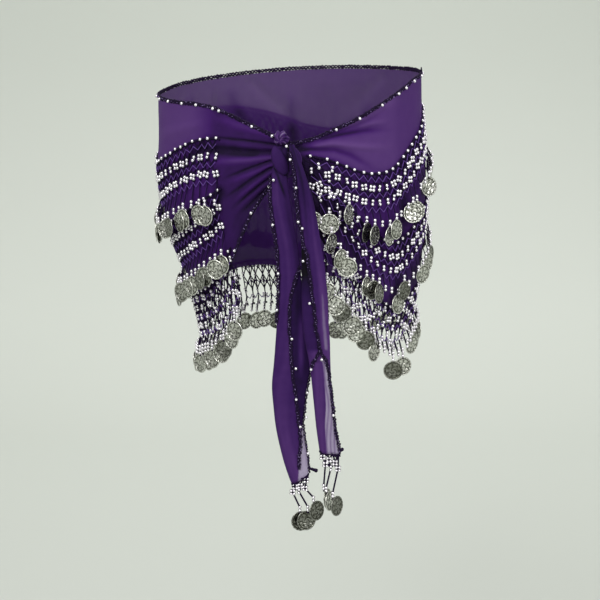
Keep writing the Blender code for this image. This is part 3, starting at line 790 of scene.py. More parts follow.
def shape_of(bm, uv_scale=None):
    """The points and faces of a small bmesh, to be set down many times."""
    points = np.array([vert.co[:] for vert in bm.verts])
    bm.verts.index_update()
    totals = np.array([len(face.verts) for face in bm.faces])
    loops = np.array([vert.index for face in bm.faces for vert in face.verts])
    uvs = points[loops][:, :2] / uv_scale + 0.5 if uv_scale else np.zeros((len(loops), 2))
    bm.free()
    return Shape(points, loops, totals, uvs)


def unit_shape(make, **sizes):
    bm = bmesh.new()
    make(bm, **sizes)
    return shape_of(bm)


BEAD = unit_shape(bmesh.ops.create_uvsphere, u_segments=8, v_segments=6, radius=1.0)
STITCH = unit_shape(bmesh.ops.create_icosphere, subdivisions=1, radius=1.0)
THREAD = unit_shape(bmesh.ops.create_cone, segments=5, radius1=1.0, radius2=1.0, depth=1.0, cap_ends=False)


def coin_shape(trim):
    """A stamped disc with a raised rim and a sunk field on each face."""
    bm = bmesh.new()
    bmesh.ops.create_cone(bm, cap_ends=True, segments=15, radius1=trim.coin, radius2=trim.coin,
                          depth=trim.coin_thick)
    for side in (1, -1):
        face = next(f for f in bm.faces if len(f.verts) > 4 and f.calc_center_median().z * side > 0)
        for inset, sink in ((0.07, 0.1), (0.08, -0.35)):
            bmesh.ops.inset_individual(bm, faces=[face], thickness=inset * trim.coin)
            bmesh.ops.translate(bm, verts=face.verts, vec=(0, 0, side * sink * trim.coin_thick))
        bmesh.ops.poke(bm, faces=[face], offset=0.045 * trim.coin)
    return shape_of(bm, uv_scale=2 * trim.coin)


def scattered_mesh(name, groups, coin_tones=()):
    """One mesh of many small shapes.

    A group is a shape, the frames that turn and size it, its places and its material. Coins are the last
    group, and coin_tones tells how bright each one is.
    """
    groups = [group for group in groups if len(group[2])]
    points = []
    loops = []
    base = 0
    for shape, frames, places, _ in groups:
        moved = np.einsum("nij,vj->nvi", frames, shape.points) + places[:, None, :]
        points.append(moved.reshape(-1, 3))
        firsts = base + len(shape.points) * np.arange(len(places))
        loops.append((shape.loops + firsts[:, None]).ravel())
        base += len(points[-1])
    points = np.concatenate(points) * MM
    loops = np.concatenate(loops)
    totals = np.concatenate([np.tile(shape.totals, len(places)) for shape, _, places, _ in groups])
    slots = np.concatenate([
        np.full(len(places) * len(shape.totals), slot) for shape, _, places, slot in groups])
    uvs = np.concatenate([np.tile(shape.uvs, (len(places), 1)) for shape, _, places, _ in groups])
    mesh = bpy.data.meshes.new(name)
    mesh.vertices.add(len(points))
    mesh.vertices.foreach_set("co", points.astype(np.float32).ravel())
    mesh.loops.add(len(loops))
    mesh.loops.foreach_set("vertex_index", loops.astype(np.int32))
    mesh.polygons.add(len(totals))
    mesh.polygons.foreach_set("loop_start", np.concatenate(([0], np.cumsum(totals)[:-1])).astype(np.int32))
    mesh.polygons.foreach_set("material_index", slots.astype(np.int32))
    mesh.polygons.foreach_set("use_smooth", [True] * len(totals))
    layer = mesh.uv_layers.new(name="Coin")
    layer.data.foreach_set("uv", uvs.astype(np.float32).ravel())
    if len(coin_tones):
        tones = np.zeros(len(points))
        each = len(groups[-1][0].points)
        tones[-each * len(coin_tones):] = np.repeat(coin_tones, each)
        tone = mesh.attributes.new("tone", "FLOAT", "POINT")
        tone.data.foreach_set("value", tones.astype(np.float32))
    mesh.update(calc_edges=True)
    mesh.validate()
    return mesh


def add_scattered(title, groups, materials, node, coin_tones=()):
    link_object(title, scattered_mesh(title, groups, coin_tones), materials, node)


def dots(shape, places, radius, slot):
    """A group of unturned shapes, of one size or of a size each."""
    places = np.asarray(places, float)
    radius = np.broadcast_to(np.asarray(radius, float), (len(places),))
    return shape, np.eye(3)[None] * radius[:, None, None], places, slot


def threads(pairs, radius, slot):
    """A group of threads. Each pair is where some threads start and where they end."""
    starts, ends = (np.concatenate([np.reshape(spots, (-1, 3)) for spots in side]) for side in zip(*pairs))
    run = ends - starts
    long = np.linalg.norm(run, axis=1, keepdims=True)
    down = run / np.maximum(long, 1e-9)
    guide = np.where(np.abs(down[:, 2:3]) > 0.9, [[1.0, 0.0, 0.0]], [[0.0, 0.0, 1.0]])
    side = unit(np.cross(guide, down))
    other = np.cross(down, side)
    frames = np.stack([side * radius, other * radius, down * (long + radius)], axis=2)
    return THREAD, frames, (starts + ends) / 2, slot


# ------------------------------------------------------------
# The crochet nets and coin fringes round the hips
# ------------------------------------------------------------


def beaded_line(scallop, tier, along):
    """Height of a tier's beaded line."""
    return TOP(along) - line_drop(scallop, tier, along)


def strings_of(scallop, tier, pitch):
    """Distances round to a tier's strings, and its beaded line's height at each."""
    start = scallop.start if scallop.start > 0 else tier.first_string
    fine = np.linspace(start, scallop.end, 400)
    step = np.hypot(np.diff(fine), 0.8 * np.diff(beaded_line(scallop, tier, fine)))
    if scallop.name == "left":
        step *= 0.55 + 0.45 * soft_step(18, 66, fine[1:])
    run = np.concatenate(([0.0], np.cumsum(step)))
    count = int(round(run[-1] / pitch))
    at = (np.arange(count) + 0.5 + 0.09 * wobble(np.arange(count), tier.number)) * run[-1] / count
    along = np.interp(at, run, fine)
    return along, beaded_line(scallop, tier, along)


def net_groups(scallop, tier, trim):
    """Threads and beads of one net."""
    along, line = strings_of(scallop, tier, trim.pitch)
    seed = tier.number + 5 * NUMBER[scallop.name]
    middle = np.clip((along[:-1] + along[1:]) / 2, 0.4, ROUND - 0.4)
    middle_line = beaded_line(scallop, tier, middle)
    hang = scallop.hang
    open_mesh = tier.number == LAST_TIER

    def row(where, heights, drop, seed_row):
        index = np.arange(len(where))
        sway = 0.5 * wobble(index, seed + seed_row)
        return where + sway, heights - hang * drop + 0.6 * wobble(index, seed + seed_row + 0.5)

    rows = [
        row(along, line, 0.0, 0.1),
        row(middle, middle_line, MESH_ROW, 0.2),
        row(along, line, FIRST_CLUSTER, 0.3),
        row(middle, middle_line, SECOND_MESH_ROW, 0.4),
        row(along, line, SECOND_CLUSTER, 0.5),
    ]
    spots = [hip_points(*places, NET_OUT) for places in rows]
    ends = hip_points(along, line - hang * STRING_ROOT, NET_OUT)
    chain = []
    for upper, lower in zip(spots, spots[1:]):
        if len(upper) > len(lower):
            chain += [(upper[:-1], lower), (upper[1:], lower)]
        else:
            chain += [(upper, lower[:-1]), (upper, lower[1:])]
    chain += [(spots[-1], ends), (spots[0][:-1], spots[0][1:])]
    if open_mesh:
        chain.append((spots[0], ends))
    pale = []
    for level, drop in enumerate(ZIGZAGS):
        uneven = 0.7 * wobble(np.arange(len(along)), seed + level)
        high = hip_points(along, line - hang * drop + ZIGZAG_HALF + uneven, NET_OUT + 0.8)
        low = hip_points(middle, middle_line - hang * drop - ZIGZAG_HALF, NET_OUT + 0.8)
        pale += [(high[:-1], low), (low, high[1:])]
    fine = np.linspace(along[0] - 4.0, along[-1] + 4.0, 300)
    fine = fine[(fine > 0.5) & (fine < ROUND - 0.5)]
    knots = [spaced_line(hip_points(fine, beaded_line(scallop, tier, fine) - 1.0, NET_OUT), 2.3)]
    beads = [hip_points(*rows[0], BEAD_OUT)]
    clusters = [rows[2], rows[4]]
    if open_mesh:
        clusters = [row(along, line, drop, 0.6 + 0.1 * k) for k, drop in enumerate(OPEN_CLUSTERS)]
    elif scallop.name == "left":
        gap = np.nonzero(np.diff(along) > 1.15 * trim.pitch)[0]
        clusters += [row(middle[gap], middle_line[gap], drop, 0.6) for drop in BETWEEN_CLUSTERS]
    for level, (where, height) in enumerate(clusters):
        place = 0.3 + 0.2 * level
        index = np.arange(len(where))
        thin = wobble(index, seed + place) > THIN_ABOVE[tier.number - 1]
        bare = open_mesh & (index % 2 == level % 2)
        turn = 0.38 * wobble(index, seed + place + 0.1)
        reach = (0.0,) if open_mesh else CLUSTER_KNOTS
        knots += [hip_points(where, height + drop, NET_OUT) for drop in reach]
        for side in (-1, 1):
            keep = ~bare & ~thin if side < 0 else ~bare
            across = np.where(thin, 0.0, side * trim.bead * CLUSTER_ACROSS)
            for above in (-1, 1):
                up = above * trim.bead * CLUSTER_UP
                turned_across = across * np.cos(turn) - up * np.sin(turn)
                turned_up = across * np.sin(turn) + up * np.cos(turn)
                beads.append(hip_points(where + turned_across, height + turned_up, BEAD_OUT)[keep])
    beads = np.concatenate(beads)
    knots = np.concatenate(knots + [spots[1], spots[3]])
    return [
        threads(pale, trim.thread * (0.5 if open_mesh else 0.42), 0),
        threads(chain, trim.thread * (0.75 if open_mesh else 0.7), 1),
        dots(STITCH, knots, 1.35 + 0.35 * wobble(np.arange(len(knots)), seed), 1),
        dots(BEAD, beads, trim.bead * (1 + 0.06 * wobble(np.arange(len(beads)), seed)), 2),
    ]


def hang_coins(scallop, tier, along, out):
    """Which strings carry a coin, how far each is raised, where it faces and its tone."""
    index = np.arange(len(along))
    seed = 3 * tier.number + 7 * NUMBER[scallop.name]
    turn = np.radians(COIN_TWIST * wobble(index, seed))
    facing = np.arctan2(out[:, 0], -out[:, 1]) - turn
    tone = 0.55 + 0.45 * wobble(index, seed + 0.4)
    if scallop.name != "left":
        return (index + tier.number) % COIN_EVERY != 0, 0.0 * turn, facing, tone
    coined = np.zeros(len(along), bool)
    rise = np.zeros(len(along))
    for hung in HUNG_COINS[tier.number]:
        k = int(np.argmin(np.abs(along - hung.along)))
        coined[k] = True
        rise[k] = hung.rise
        facing[k] = math.radians(hung.facing)
        tone[k] = hung.tone
    return coined, rise, facing, tone


def pushed_clear(centre, out, facing, stand, radius):
    """Coins that hang edge-on, pushed out until their inner edge is clear of the cloth."""
    reach = radius * np.abs(out[:, 0] * np.cos(facing) + out[:, 1] * np.sin(facing))
    short = np.clip(reach + COIN_CLEAR - stand, 0.0, None)
    in_front = out[:, 1] < -0.5
    push = out * np.minimum(short, SIDE_PUSH)[:, None]
    push[in_front] = 0.0
    push[in_front, 1] = (short / out[:, 1])[in_front]
    return centre + push


def fringe_groups(scallop, tier, trim):
    """Strings, beads and coins of one tier, and the coins' tones."""
    along, line = strings_of(scallop, tier, trim.pitch)
    index = np.arange(len(along))
    seed = 2 * tier.number + 11 * NUMBER[scallop.name]
    hang = scallop.hang
    out = outward_from(along)
    root = hip_points(along, line - hang * STRING_ROOT, NET_OUT)
    coined, rise, facing, tone = hang_coins(scallop, tier, along, out)
    stand = COIN_OUT + 1.2 * wobble(index, seed + 0.7)
    coin_height = line - hang * COIN_DROP + 1.2 * wobble(index, seed) + rise
    centre = hip_points(along, line - hang * (STRING_ROOT - 1.5), stand, creased=False)
    clear = np.sum((hip_points(along, coin_height, stand, creased=False) - centre) * out, axis=1)
    centre = centre + out * np.maximum(clear, 0)[:, None]
    centre[:, 2] = coin_height
    centre = pushed_clear(centre, out, facing, stand, trim.coin)
    top = centre + UP * (trim.coin * COIN_EYE)
    lower = top + UP * (trim.bead * 1.5)
    levels = [lower + UP * (trim.bead * 2.15 * k) for k in range(STRING_BEADS[tier.number - 1])]
    root[:, 2] = np.maximum(root[:, 2], levels[-1][:, 2] + 2.0)
    normal = points_of(np.sin(facing), -np.cos(facing), 0.0)
    face = swung(normal, UP, np.radians(7.0 * wobble(index, seed + 1.3)))
    side = np.cross(UP, normal)
    side = swung(side, np.cross(face, side), np.radians(12.0 * wobble(index, seed + 2.1)))
    frames = np.stack([side, np.cross(face, side), face], axis=2)
    thread = trim.thread * THREAD_SHARE[tier.number - 1]
    return [
        threads([(root, lower), (lower[coined], top[coined])], thread, 0),
        dots(BEAD, np.concatenate(levels), trim.bead, 1),
        (coin_shape(trim), frames[coined], centre[coined], 2),
    ], tone[coined]


# ------------------------------------------------------------
# Edgings
# ------------------------------------------------------------


def spaced_line(points, step):
    """The points again, evenly spaced along their line."""
    run = np.concatenate(([0.0], np.cumsum(np.linalg.norm(np.diff(points, axis=0), axis=1))))
    at = np.arange(0, run[-1], step)
    return np.stack([np.interp(at, run, points[:, k]) for k in range(3)], axis=1)


def edging_groups(line, out, across, seed, size):
    """Crochet stitches in two rows along a line, with pale specks of light on them.

    out and across are the directions out of the cloth and over its edge.
    """
    index = np.arange(len(line))
    tangent = unit(np.gradient(line, axis=0))
    groups = []
    for row, (shift, share) in enumerate(((0.0, 1.0), (1.75, 0.9))):
        slant = np.radians(38 * (1 - 2 * ((index + row) % 2)) + 14 * wobble(index, seed + row))
        long = swung(tangent, across, slant)
        wide = unit(np.cross(out, long))
        thick = np.cross(long, wide)
        sizes = size * share * (1 + 0.22 * wobble(index, seed + 3 + row))[:, None]
        frames = np.stack([long * 2.0 * sizes, wide * 1.1 * sizes, thick * 1.2 * sizes], axis=2)
        shifts = (shift + 0.3 * wobble(index, seed + 6 + row))[:, None]
        lifts = 0.25 * wobble(index, seed + 9 + row)[:, None]
        groups.append((STITCH, frames, line + across * size * shifts + out * lifts, 0))
    lit = wobble(index, seed + 12) > -0.2
    specks = line + across * size * (0.9 + 1.3 * wobble(index, seed + 13)[:, None]) + out * size * 1.25
    specks = (specks + tangent * 1.1 * wobble(index, seed + 14)[:, None])[lit]
    small = (0.2 + 0.25 * size) * (1 + 0.45 * wobble(index, seed + 15)[lit])
    return groups + [dots(STITCH, specks, small, 2)]


def hip_edging(along, heights, across, seed, size):
    """Stitches along an edge of the cloth round the hips."""
    line = spaced_line(hip_points(along, heights, CLOTH_OUT + 0.2), HIP_STITCH)
    shares = np.linspace(0, len(line) - 1, len(along))
    where = np.interp(np.arange(len(line)), shares, np.unwrap(along, period=ROUND)) % ROUND
    return edging_groups(line, outward_from(where), across, seed, size)


# ------------------------------------------------------------
# Settings
# ------------------------------------------------------------


def colour_setting(name, description, default):
    return bpy.props.FloatVectorProperty(
        name=name, description=description, subtype="COLOR", size=3, min=0.0, max=1.0, default=default)


def length_setting(name, description, low, high, default):
    return bpy.props.FloatProperty(
        name=name, description=description, subtype="DISTANCE", unit="LENGTH", min=low, max=high,
        default=default)


class HipScarfClothSettings(bpy.types.PropertyGroup):
    pale: colour_setting("Single layer", "Colour of one tight layer of chiffon", (0.124, 0.056, 0.216))
    deep: colour_setting("Under crochet", "Colour where crochet or another layer covers it",
                         (0.046, 0.010, 0.115))
    # the fold colour is painted shadow, for the inside of a fold
    fold: colour_setting("Folds", "Colour inside a fold", (0.009, 0.003, 0.022))
    thickness: length_setting("Thickness", "Thickness of the chiffon", 0.0001, 0.001, 0.0002)
    detail: length_setting("Face size", "Size of the chiffon's faces", 0.001, 0.006, 0.0024)


class HipScarfTrimSettings(bpy.types.PropertyGroup):
    string_pitch: length_setting("String spacing", "Distance round the hips from one string to the next",
                                 0.007, 0.02, 0.0098)
    thread: length_setting("Thread", "Thickness of the crochet thread", 0.0004, 0.002, 0.001)
    bead: length_setting("Bead", "Diameter of a bead", 0.002, 0.006, 0.0037)
    coin: length_setting("Coin", "Diameter of a coin", 0.012, 0.03, 0.0225)
    coin_thickness: length_setting("Coin thickness", "Thickness of a coin at its rim", 0.0005, 0.002, 0.0008)


class HipScarfStageSettings(bpy.types.PropertyGroup):
    floor_drop: length_setting("Floor", "Depth of the floor below the knot", 0.41, 1.5, 0.86)
    backdrop: colour_setting("Backdrop", "Colour of the floor and the backdrop", (0.66, 0.69, 0.64))


Trim = namedtuple("Trim", "pitch thread bead coin coin_thick")


def trim_of(context):
    """The trim's settings in millimetres, with the radius of a bead and of a coin."""
    trim = context.scene.hip_scarf_trim
    return Trim(trim.string_pitch / MM, trim.thread / MM, trim.bead / MM / 2, trim.coin / MM / 2,
                trim.coin_thickness / MM)


# ------------------------------------------------------------
# Operators
# ------------------------------------------------------------


def cloth_materials(cloth):
    middle = tuple(0.55 * pale + 0.45 * deep for pale, deep in zip(cloth.pale, cloth.deep))
    colours = ((0.0, tuple(cloth.pale)), (0.3, middle), (0.7, tuple(cloth.deep)), (1.0, tuple(cloth.fold)))
    return [cloth_material("Sheer Chiffon", colours, 0.74, 0.95, 1.0, 0.72)]


def panel_shade(along, height, line):
    """Pale where bare and tight, deep under the crochet, with painted shade in creases and near the knot."""
    dark = crease_values(along, height)[1]
    from_knot = np.minimum(along, ROUND - along)
    under = 1 / (1 + np.exp((height - line) / 2.5))
    near_knot = np.exp(-from_knot / 20.0)
    # turned: painted shade where the cloth turns away round the hip
    turned = 0.12 * soft_step(118, 134, along) * (1 - soft_step(300, 500, along))
    # gathered: deeper towards the gathers, for their bunched layers and as painted shade
    gathered = (GATHER_SHADE - PLAIN_SHADE) * soft_step(736, 780, along)
    # painted shade under the crochet beside the knot and the ties
    painted_shade_by_knot = 0.26 * under * np.exp(-(along / 52.0) ** 2)
    plain = PLAIN_SHADE + np.maximum((0.7 - PLAIN_SHADE) * under + turned, gathered) + painted_shade_by_knot
    # hollow: painted shadow in the gap between the ties below the knot
    hollow = np.exp(-(from_knot / 10.0) ** 2) * (1 - soft_step(-14, -2, height))
    return plain + 0.30 * near_knot + 0.45 * hollow + (0.80 - 0.30 * soft_step(736, 780, along)) * dark


def gather_shade(along, height, down):
    dark = crease_values(along, height)[1]
    lower = 0.08 * down * soft_step(780, 800, along)
    # the creases' dark is painted shade; the value also darkens towards the knot and towards the bottom
    return GATHER_SHADE + 0.10 * np.exp(-(ROUND - along) / 14.0) + 0.50 * dark + lower


class HIPSCARF_OT_chiffon(bpy.types.Operator):
    """Drape the four stretches of chiffon round the hips"""
    bl_idname = "hipscarf.chiffon"
    bl_label = "Chiffon"

    def execute(self, context):
        cloth = context.scene.hip_scarf_cloth
        drop = STRIP_DROP - 20
        for scallop, title in zip(SCALLOPS, ("Chiffon left hip", "Chiffon back", "Chiffon right hip")):
            start = max(scallop.start, 0.3)
            width = scallop.end - start
            step = cloth.detail / MM * (0.72 if scallop.name == "left" else 1.0)
            obj = self.drape(
                cloth, title, start, width, lambda along: hem_drop(scallop, along),
                lambda along, height, down: panel_shade(along, height, beaded_line(scallop, TIERS[0], along)),
                (round(width / step), round(drop / step)), drop)
        start = SCALLOPS[-1].end
        obj = self.drape(cloth, "Chiffon front gathers", start, ROUND - 0.3 - start, cloth_drop, gather_shade,
                         (56, 110), 150.0)
        return {"FINISHED"}

    def drape(self, cloth, title, start, width, hem, look, grid, drop):
        """One stretch, from the top edge to its hem. look takes distances round, heights and shares down."""

        def spot(across, down):
            along = start + width * across
            return along, TOP(along) - down * hem(along)

        def place(across, down):
            return hip_points(*spot(across, down), CLOTH_OUT)

        def shade(across, down):
            return look(*spot(across, down), down)

        mesh = cloth_mesh(title, *grid, place, shade, (width, drop))
        obj = link_object(title, mesh, cloth_materials(cloth), title.lower().replace(" ", "_"))
        thicken(obj, cloth.thickness / MM, rim=False)
        return obj


class HIPSCARF_OT_nets(bpy.types.Operator):
    """Crochet the nine nets, with their beads"""
    bl_idname = "hipscarf.nets"
    bl_label = "Crochet nets"

    def execute(self, context):
        trim = trim_of(context)
        materials = [thread_material("Crochet Thread", (0.045, 0.015, 0.12), (0.19, 0.10, 0.40)),
                     chain_material(), bead_material()]
        for scallop, tier in BANDS:
            groups = net_groups(scallop, tier, trim)
            add_scattered("Net %s %d" % (scallop.name, tier.number), groups, materials,
                          "net_%s_%d" % (scallop.name, tier.number))
        return {"FINISHED"}


class HIPSCARF_OT_fringes(bpy.types.Operator):
    """Hang the nine rows of beaded strings and coins"""
    bl_idname = "hipscarf.fringes"
    bl_label = "Coin fringes"

    def execute(self, context):
        trim = trim_of(context)
        materials = [chain_material(), bead_material(), coin_material()]
        for scallop, tier in BANDS:
            groups, tones = fringe_groups(scallop, tier, trim)
            add_scattered("Coin fringe %s %d" % (scallop.name, tier.number), groups, materials,
                          "coins_%s_%d" % (scallop.name, tier.number), tones)
        return {"FINISHED"}


class HIPSCARF_OT_edgings(bpy.types.Operator):
    """Crochet the dark edgings of the top edge and of the bare front stretch"""
    bl_idname = "hipscarf.edgings"
    bl_label = "Hip edgings"

    def execute(self, context):
        bead = trim_of(context).bead * 0.95
        along = np.concatenate([np.arange(BARE_START, ROUND - 1, 0.8), np.arange(0.4, 780.0, 0.8)])
        groups = hip_edging(along, TOP(along) + 1.2, UP, 1.0, 1.1)
        groups += [dots(BEAD, self.top_beads(), bead, 1), self.loose_end()]
        add_scattered("Top edging", groups, edging_materials(), "edging_top")
        along = np.arange(BARE_START, ROUND - 9, 0.8)
        groups = hip_edging(along, TOP(along) - cloth_drop(along) - 1.4, -UP, 4.0, 1.35)
        spots = np.array(LOWER_BEADS)
        spots = hip_points(spots, TOP(spots) - cloth_drop(spots) - 1.4, CLOTH_OUT + 2.4)
        groups.append(dots(BEAD, spots, bead, 1))
        add_scattered("Lower front edging", groups, edging_materials(), "edging_lower")
        return {"FINISHED"}

    def top_beads(self):
        spots = list(TOP_BEADS)
        at = TOP_BEADS[-1] + TOP_BEAD_STEP
        k = 0
        while at < 772.0:
            spots.append(at)
            k += 1
            at += TOP_BEAD_STEP + 4.0 * float(wobble(k, 2.0))
        spots = np.array(spots)
        return hip_points(spots, TOP(spots) + 1.4, CLOTH_OUT + 2.2)

    def loose_end(self):
        """The end of the edging thread, which stands up at the wearer's left hip."""
        level = np.arange(0, 7)
        points = hip_points(207.0 + 0.5 * np.sin(level), 93.5 + 1.05 * level, CLOTH_OUT + 0.6, creased=False)
        return dots(STITCH, points, np.linspace(1.5, 0.9, len(points)), 0)


def add_tie(side, look):
    """A tie: a soft flattened tube of cloth, open at its ends. look takes shares across and heights."""
    left, right, depth = TIE_CURVES[side]
    top = TIES[side][0].height
    low = TIES[side][-1].height

    def place(across, down):
        # across runs from the front's right edge to the fold and back
        height = top + (low - top) * down
        share = np.abs(2 * across - 1)
        front = np.where(across < 0.5, -1.0, 1.0)
        swell = np.sin(math.pi * share) ** 0.5
        wave = 0.45 * np.sin(share * 9.0 + height / 19.0) + 0.35 * np.sin(share * 4.0 - height / 33.0)
        thick = front * (TIE_HALF * (0.45 + 0.55 * swell)) * np.minimum(1, share * 9.0)
        sunk = soft_step(0.86, 1.0, down) * HEM_SLANT[side] * (1 - share)
        return points_of(left(height) + (right(height) - left(height)) * share,
                         depth(height) + thick + wave * 0.5 * np.sin(math.pi * share), height - sunk)

    def shade(across, down):
        return look(np.abs(2 * across - 1), top + (low - top) * down)

    title = side.capitalize() + " tie"
    mesh = cloth_mesh(title, TIE_COLUMNS, round((top - low) / 3.0), place, shade, (68.0, top - low))
    obj = link_object(title, mesh, [folded_material()], "tail_" + side)
    thicken(obj, 0.45, -1.0)
    return obj


class HIPSCARF_OT_ties(bpy.types.Operator):
    """Hang the two folded tie ends from the knot"""
    bl_idname = "hipscarf.ties"
    bl_label = "Tie ends"

    def execute(self, context):
        for side, look, length in (("left", self.left_shade, 0.337), ("right", self.right_shade, 0.327)):
            add_tie(side, look)
        return {"FINISHED"}

    def fold_shading(self, share, height, seed):
        """Painted light and shade of long soft creases that run down a tie."""
        wander = share * 3.0 + 0.5 * np.sin(height / 46.0 + seed)
        return 0.06 * np.sin(wander * 3.1 + seed) + 0.025 * np.sin(wander * 8.0 - height / 27.0)

    def left_shade(self, share, height):
        left, right, _ = TIE_CURVES["left"]
        x = left(height) + (right(height) - left(height)) * share
        free_edge = curve_of(LEFT_FREE_EDGE, "height", "x")(height)
        low = 1 - soft_step(-290, -282, height)
        beyond = soft_step(-0.6, 0.6, x - free_edge) * (1 - soft_step(-118, -106, height))
        upper = (0.58 + 0.12 * soft_step(-26, 4, height) + 0.14 * soft_step(0.35, 1.0, share)
                 - 0.14 * soft_step(230, 330, -height))
        # pleat: a line of painted shade in a pleat near the top
        pleat = np.exp(-((x + 13.5 + 0.36 * (height + 10)) / 1.6) ** 2) * soft_step(-34, -22, height)
        value = upper + 0.6 * self.fold_shading(share, height, 1.0) + 0.3 * pleat
        # hollow: painted shadow, near black, in the gap between the ties
        hollow = (soft_step(-0.6, 0.6, x + 5.9 + 0.474 * (height + 6.2)) * soft_step(-52, -34, height)
                  * (1 - soft_step(-7, -4, height)))
        streak = (0.34 * np.exp(-((x - 10.5) / 3.0) ** 2) * soft_step(-236, -205, height)
                  * (1 - soft_step(-172, -150, height)))
        inner = mixed(0.86, 0.04, low) - streak + 0.4 * self.fold_shading(share, height, 2.0)
        return mixed(mixed(value, 1.0, hollow), inner, beyond)

    def right_shade(self, share, height):
        left, right, _ = TIE_CURVES["right"]
        x = left(height) + (right(height) - left(height)) * share
        free_edge, low_edge, vee = (curve_of(spots, "height", "x")(height) for spots in (
            RIGHT_FREE_EDGE, RIGHT_LOW_EDGE, RIGHT_VEE_RIGHT))
        upper = soft_step(-199, -193, height)
        behind = upper * soft_step(-0.5, 0.5, free_edge - x)
        strip = (1 - upper) * soft_step(-1.0, 1.0, x - low_edge) * soft_step(-1.0, 1.0, vee - x)
        outside = (1 - upper) * soft_step(-0.5, 0.5, x - vee)
        streaks = np.abs(np.sin(0.75 * (x - low_edge) + 0.9 * np.sin(height / 13.0)))
        shine = np.exp(-((share - 0.8) / 0.12) ** 2) * soft_step(60, 130, -height) * upper
        shine = shine * (0.35 + 0.65 * soft_step(90, 150, -height))
        value = (0.60 + 0.24 * soft_step(-80, 4, height) + self.fold_shading(share, height, 3.0) - 0.22 * shine
                 - 0.14 * soft_step(110, 200, -height))
        # behind: the inner layer left of the free edge, painted near black as shadow at the top
        value = mixed(value, 0.72 + 0.28 * soft_step(-150, -105, height), behind)
        return mixed(mixed(value, 0.36, outside), 0.02 + 0.24 * streaks ** 3, strip)


class HIPSCARF_OT_tie_edgings(bpy.types.Operator):
    """Crochet the edgings on the long edges of the ties"""
    bl_idname = "hipscarf.tie_edgings"
    bl_label = "Tie edgings"

    def execute(self, context):
        bead = trim_of(context).bead * 0.9
        left, right, depth = TIE_CURVES["left"]
        outer = np.arange(-10, -168, -1.0)
        self.edge("left", "outer", bead, [points_of(left(outer) - 1.0, depth(outer) - 1.4, outer)],
                  [(-19.7, -59.4), (-18.6, -12.0), (-14.0, -112.0), (-15.6, -152.0)], 5.0)
        inner = np.arange(-128, -340, -1.0)
        front = np.arange(-105, -334, -1.0)
        self.edge("left", "inner", bead,
                  [points_of(right(inner) + 0.6, depth(inner) + 0.6, inner),
                   points_of(curve_of(LEFT_FREE_EDGE, "height", "x")(front), -139.6, front)],
                  [(0.6, -184.0), (4.9, -217.0), (5.3, -252.0), (9.7, -283.0), (17.4, -244.3),
                   (16.4, -272.3), (18.2, -313.4)], 6.0, self.tuft(19.0, 27.6, -138.0, -331.0, -334.5))
        self.edge("right", "outer", bead,
                  [self.right_line(RIGHT_FREE_EDGE, 3.0), self.right_line(RIGHT_VEE_LEFT, 2.6)],
                  [(-4.9, 23.5), (-1.0, 10.0), (5.1, -19.0), (11.8, -62.0), (12.6, -97.0),
                   (19.6, -143.0), (7.5, -55.0), (21.3, -216.0)], 7.0)
        self.edge("right", "inner", bead, [self.right_line(RIGHT_VEE_RIGHT, 2.4)],
                  [(45.7, -267.5), (32.7, -205.0)], 8.0, self.tuft(52.4, 56.4, -146.6, -309.5, -306.5))
        return {"FINISHED"}

    def tuft(self, start, end, y, high, low):
        """The knotted end of an edging thread, thick at its tip."""
        share = np.linspace(0, 1, 12)
        return points_of(start + (end - start) * share, y - 0.8 * np.sin(3 * share),
                         high + (low - high) * share)

    def right_line(self, table, out):
        """A line of the right tie, a little in front of its cloth."""
        x, height = np.array(table, float).T
        return points_of(x, TIE_CURVES["right"][2](height) - out - 1.2 * soft_step(10, 24, height), height)

    def edge(self, side, where, bead, lines, beads, seed, tuft=None):
        groups = []
        for k, points in enumerate(lines):
            line = spaced_line(points, TIE_STITCH)
            line[:, 0] += 0.5 * wobble(np.arange(len(line)), seed + k)
            across = unit(np.cross(np.gradient(line, axis=0), FORWARD))
            groups += edging_groups(line - across * 0.8, FORWARD, across, seed + 20 * k, 0.92)
        if tuft is not None:
            line = spaced_line(tuft, TUFT_STITCH)
            index = np.arange(len(line))
            line[:, 0] += 0.2 * wobble(index, seed + len(lines))
            swell = np.linspace(1.3, 2.5, len(line)) * (1 + 0.12 * wobble(index, seed))
            groups.append(dots(STITCH, line, swell, 0))
        x, height = np.array(beads).T
        spots = points_of(x, TIE_CURVES[side][2](height) - 4.6, height)
        groups.append(dots(BEAD, spots, bead, 1))
        add_scattered("%s tie %s edging" % (side.capitalize(), where), groups, edging_materials(),
                      "edging_tail_%s_%s" % (side, where))


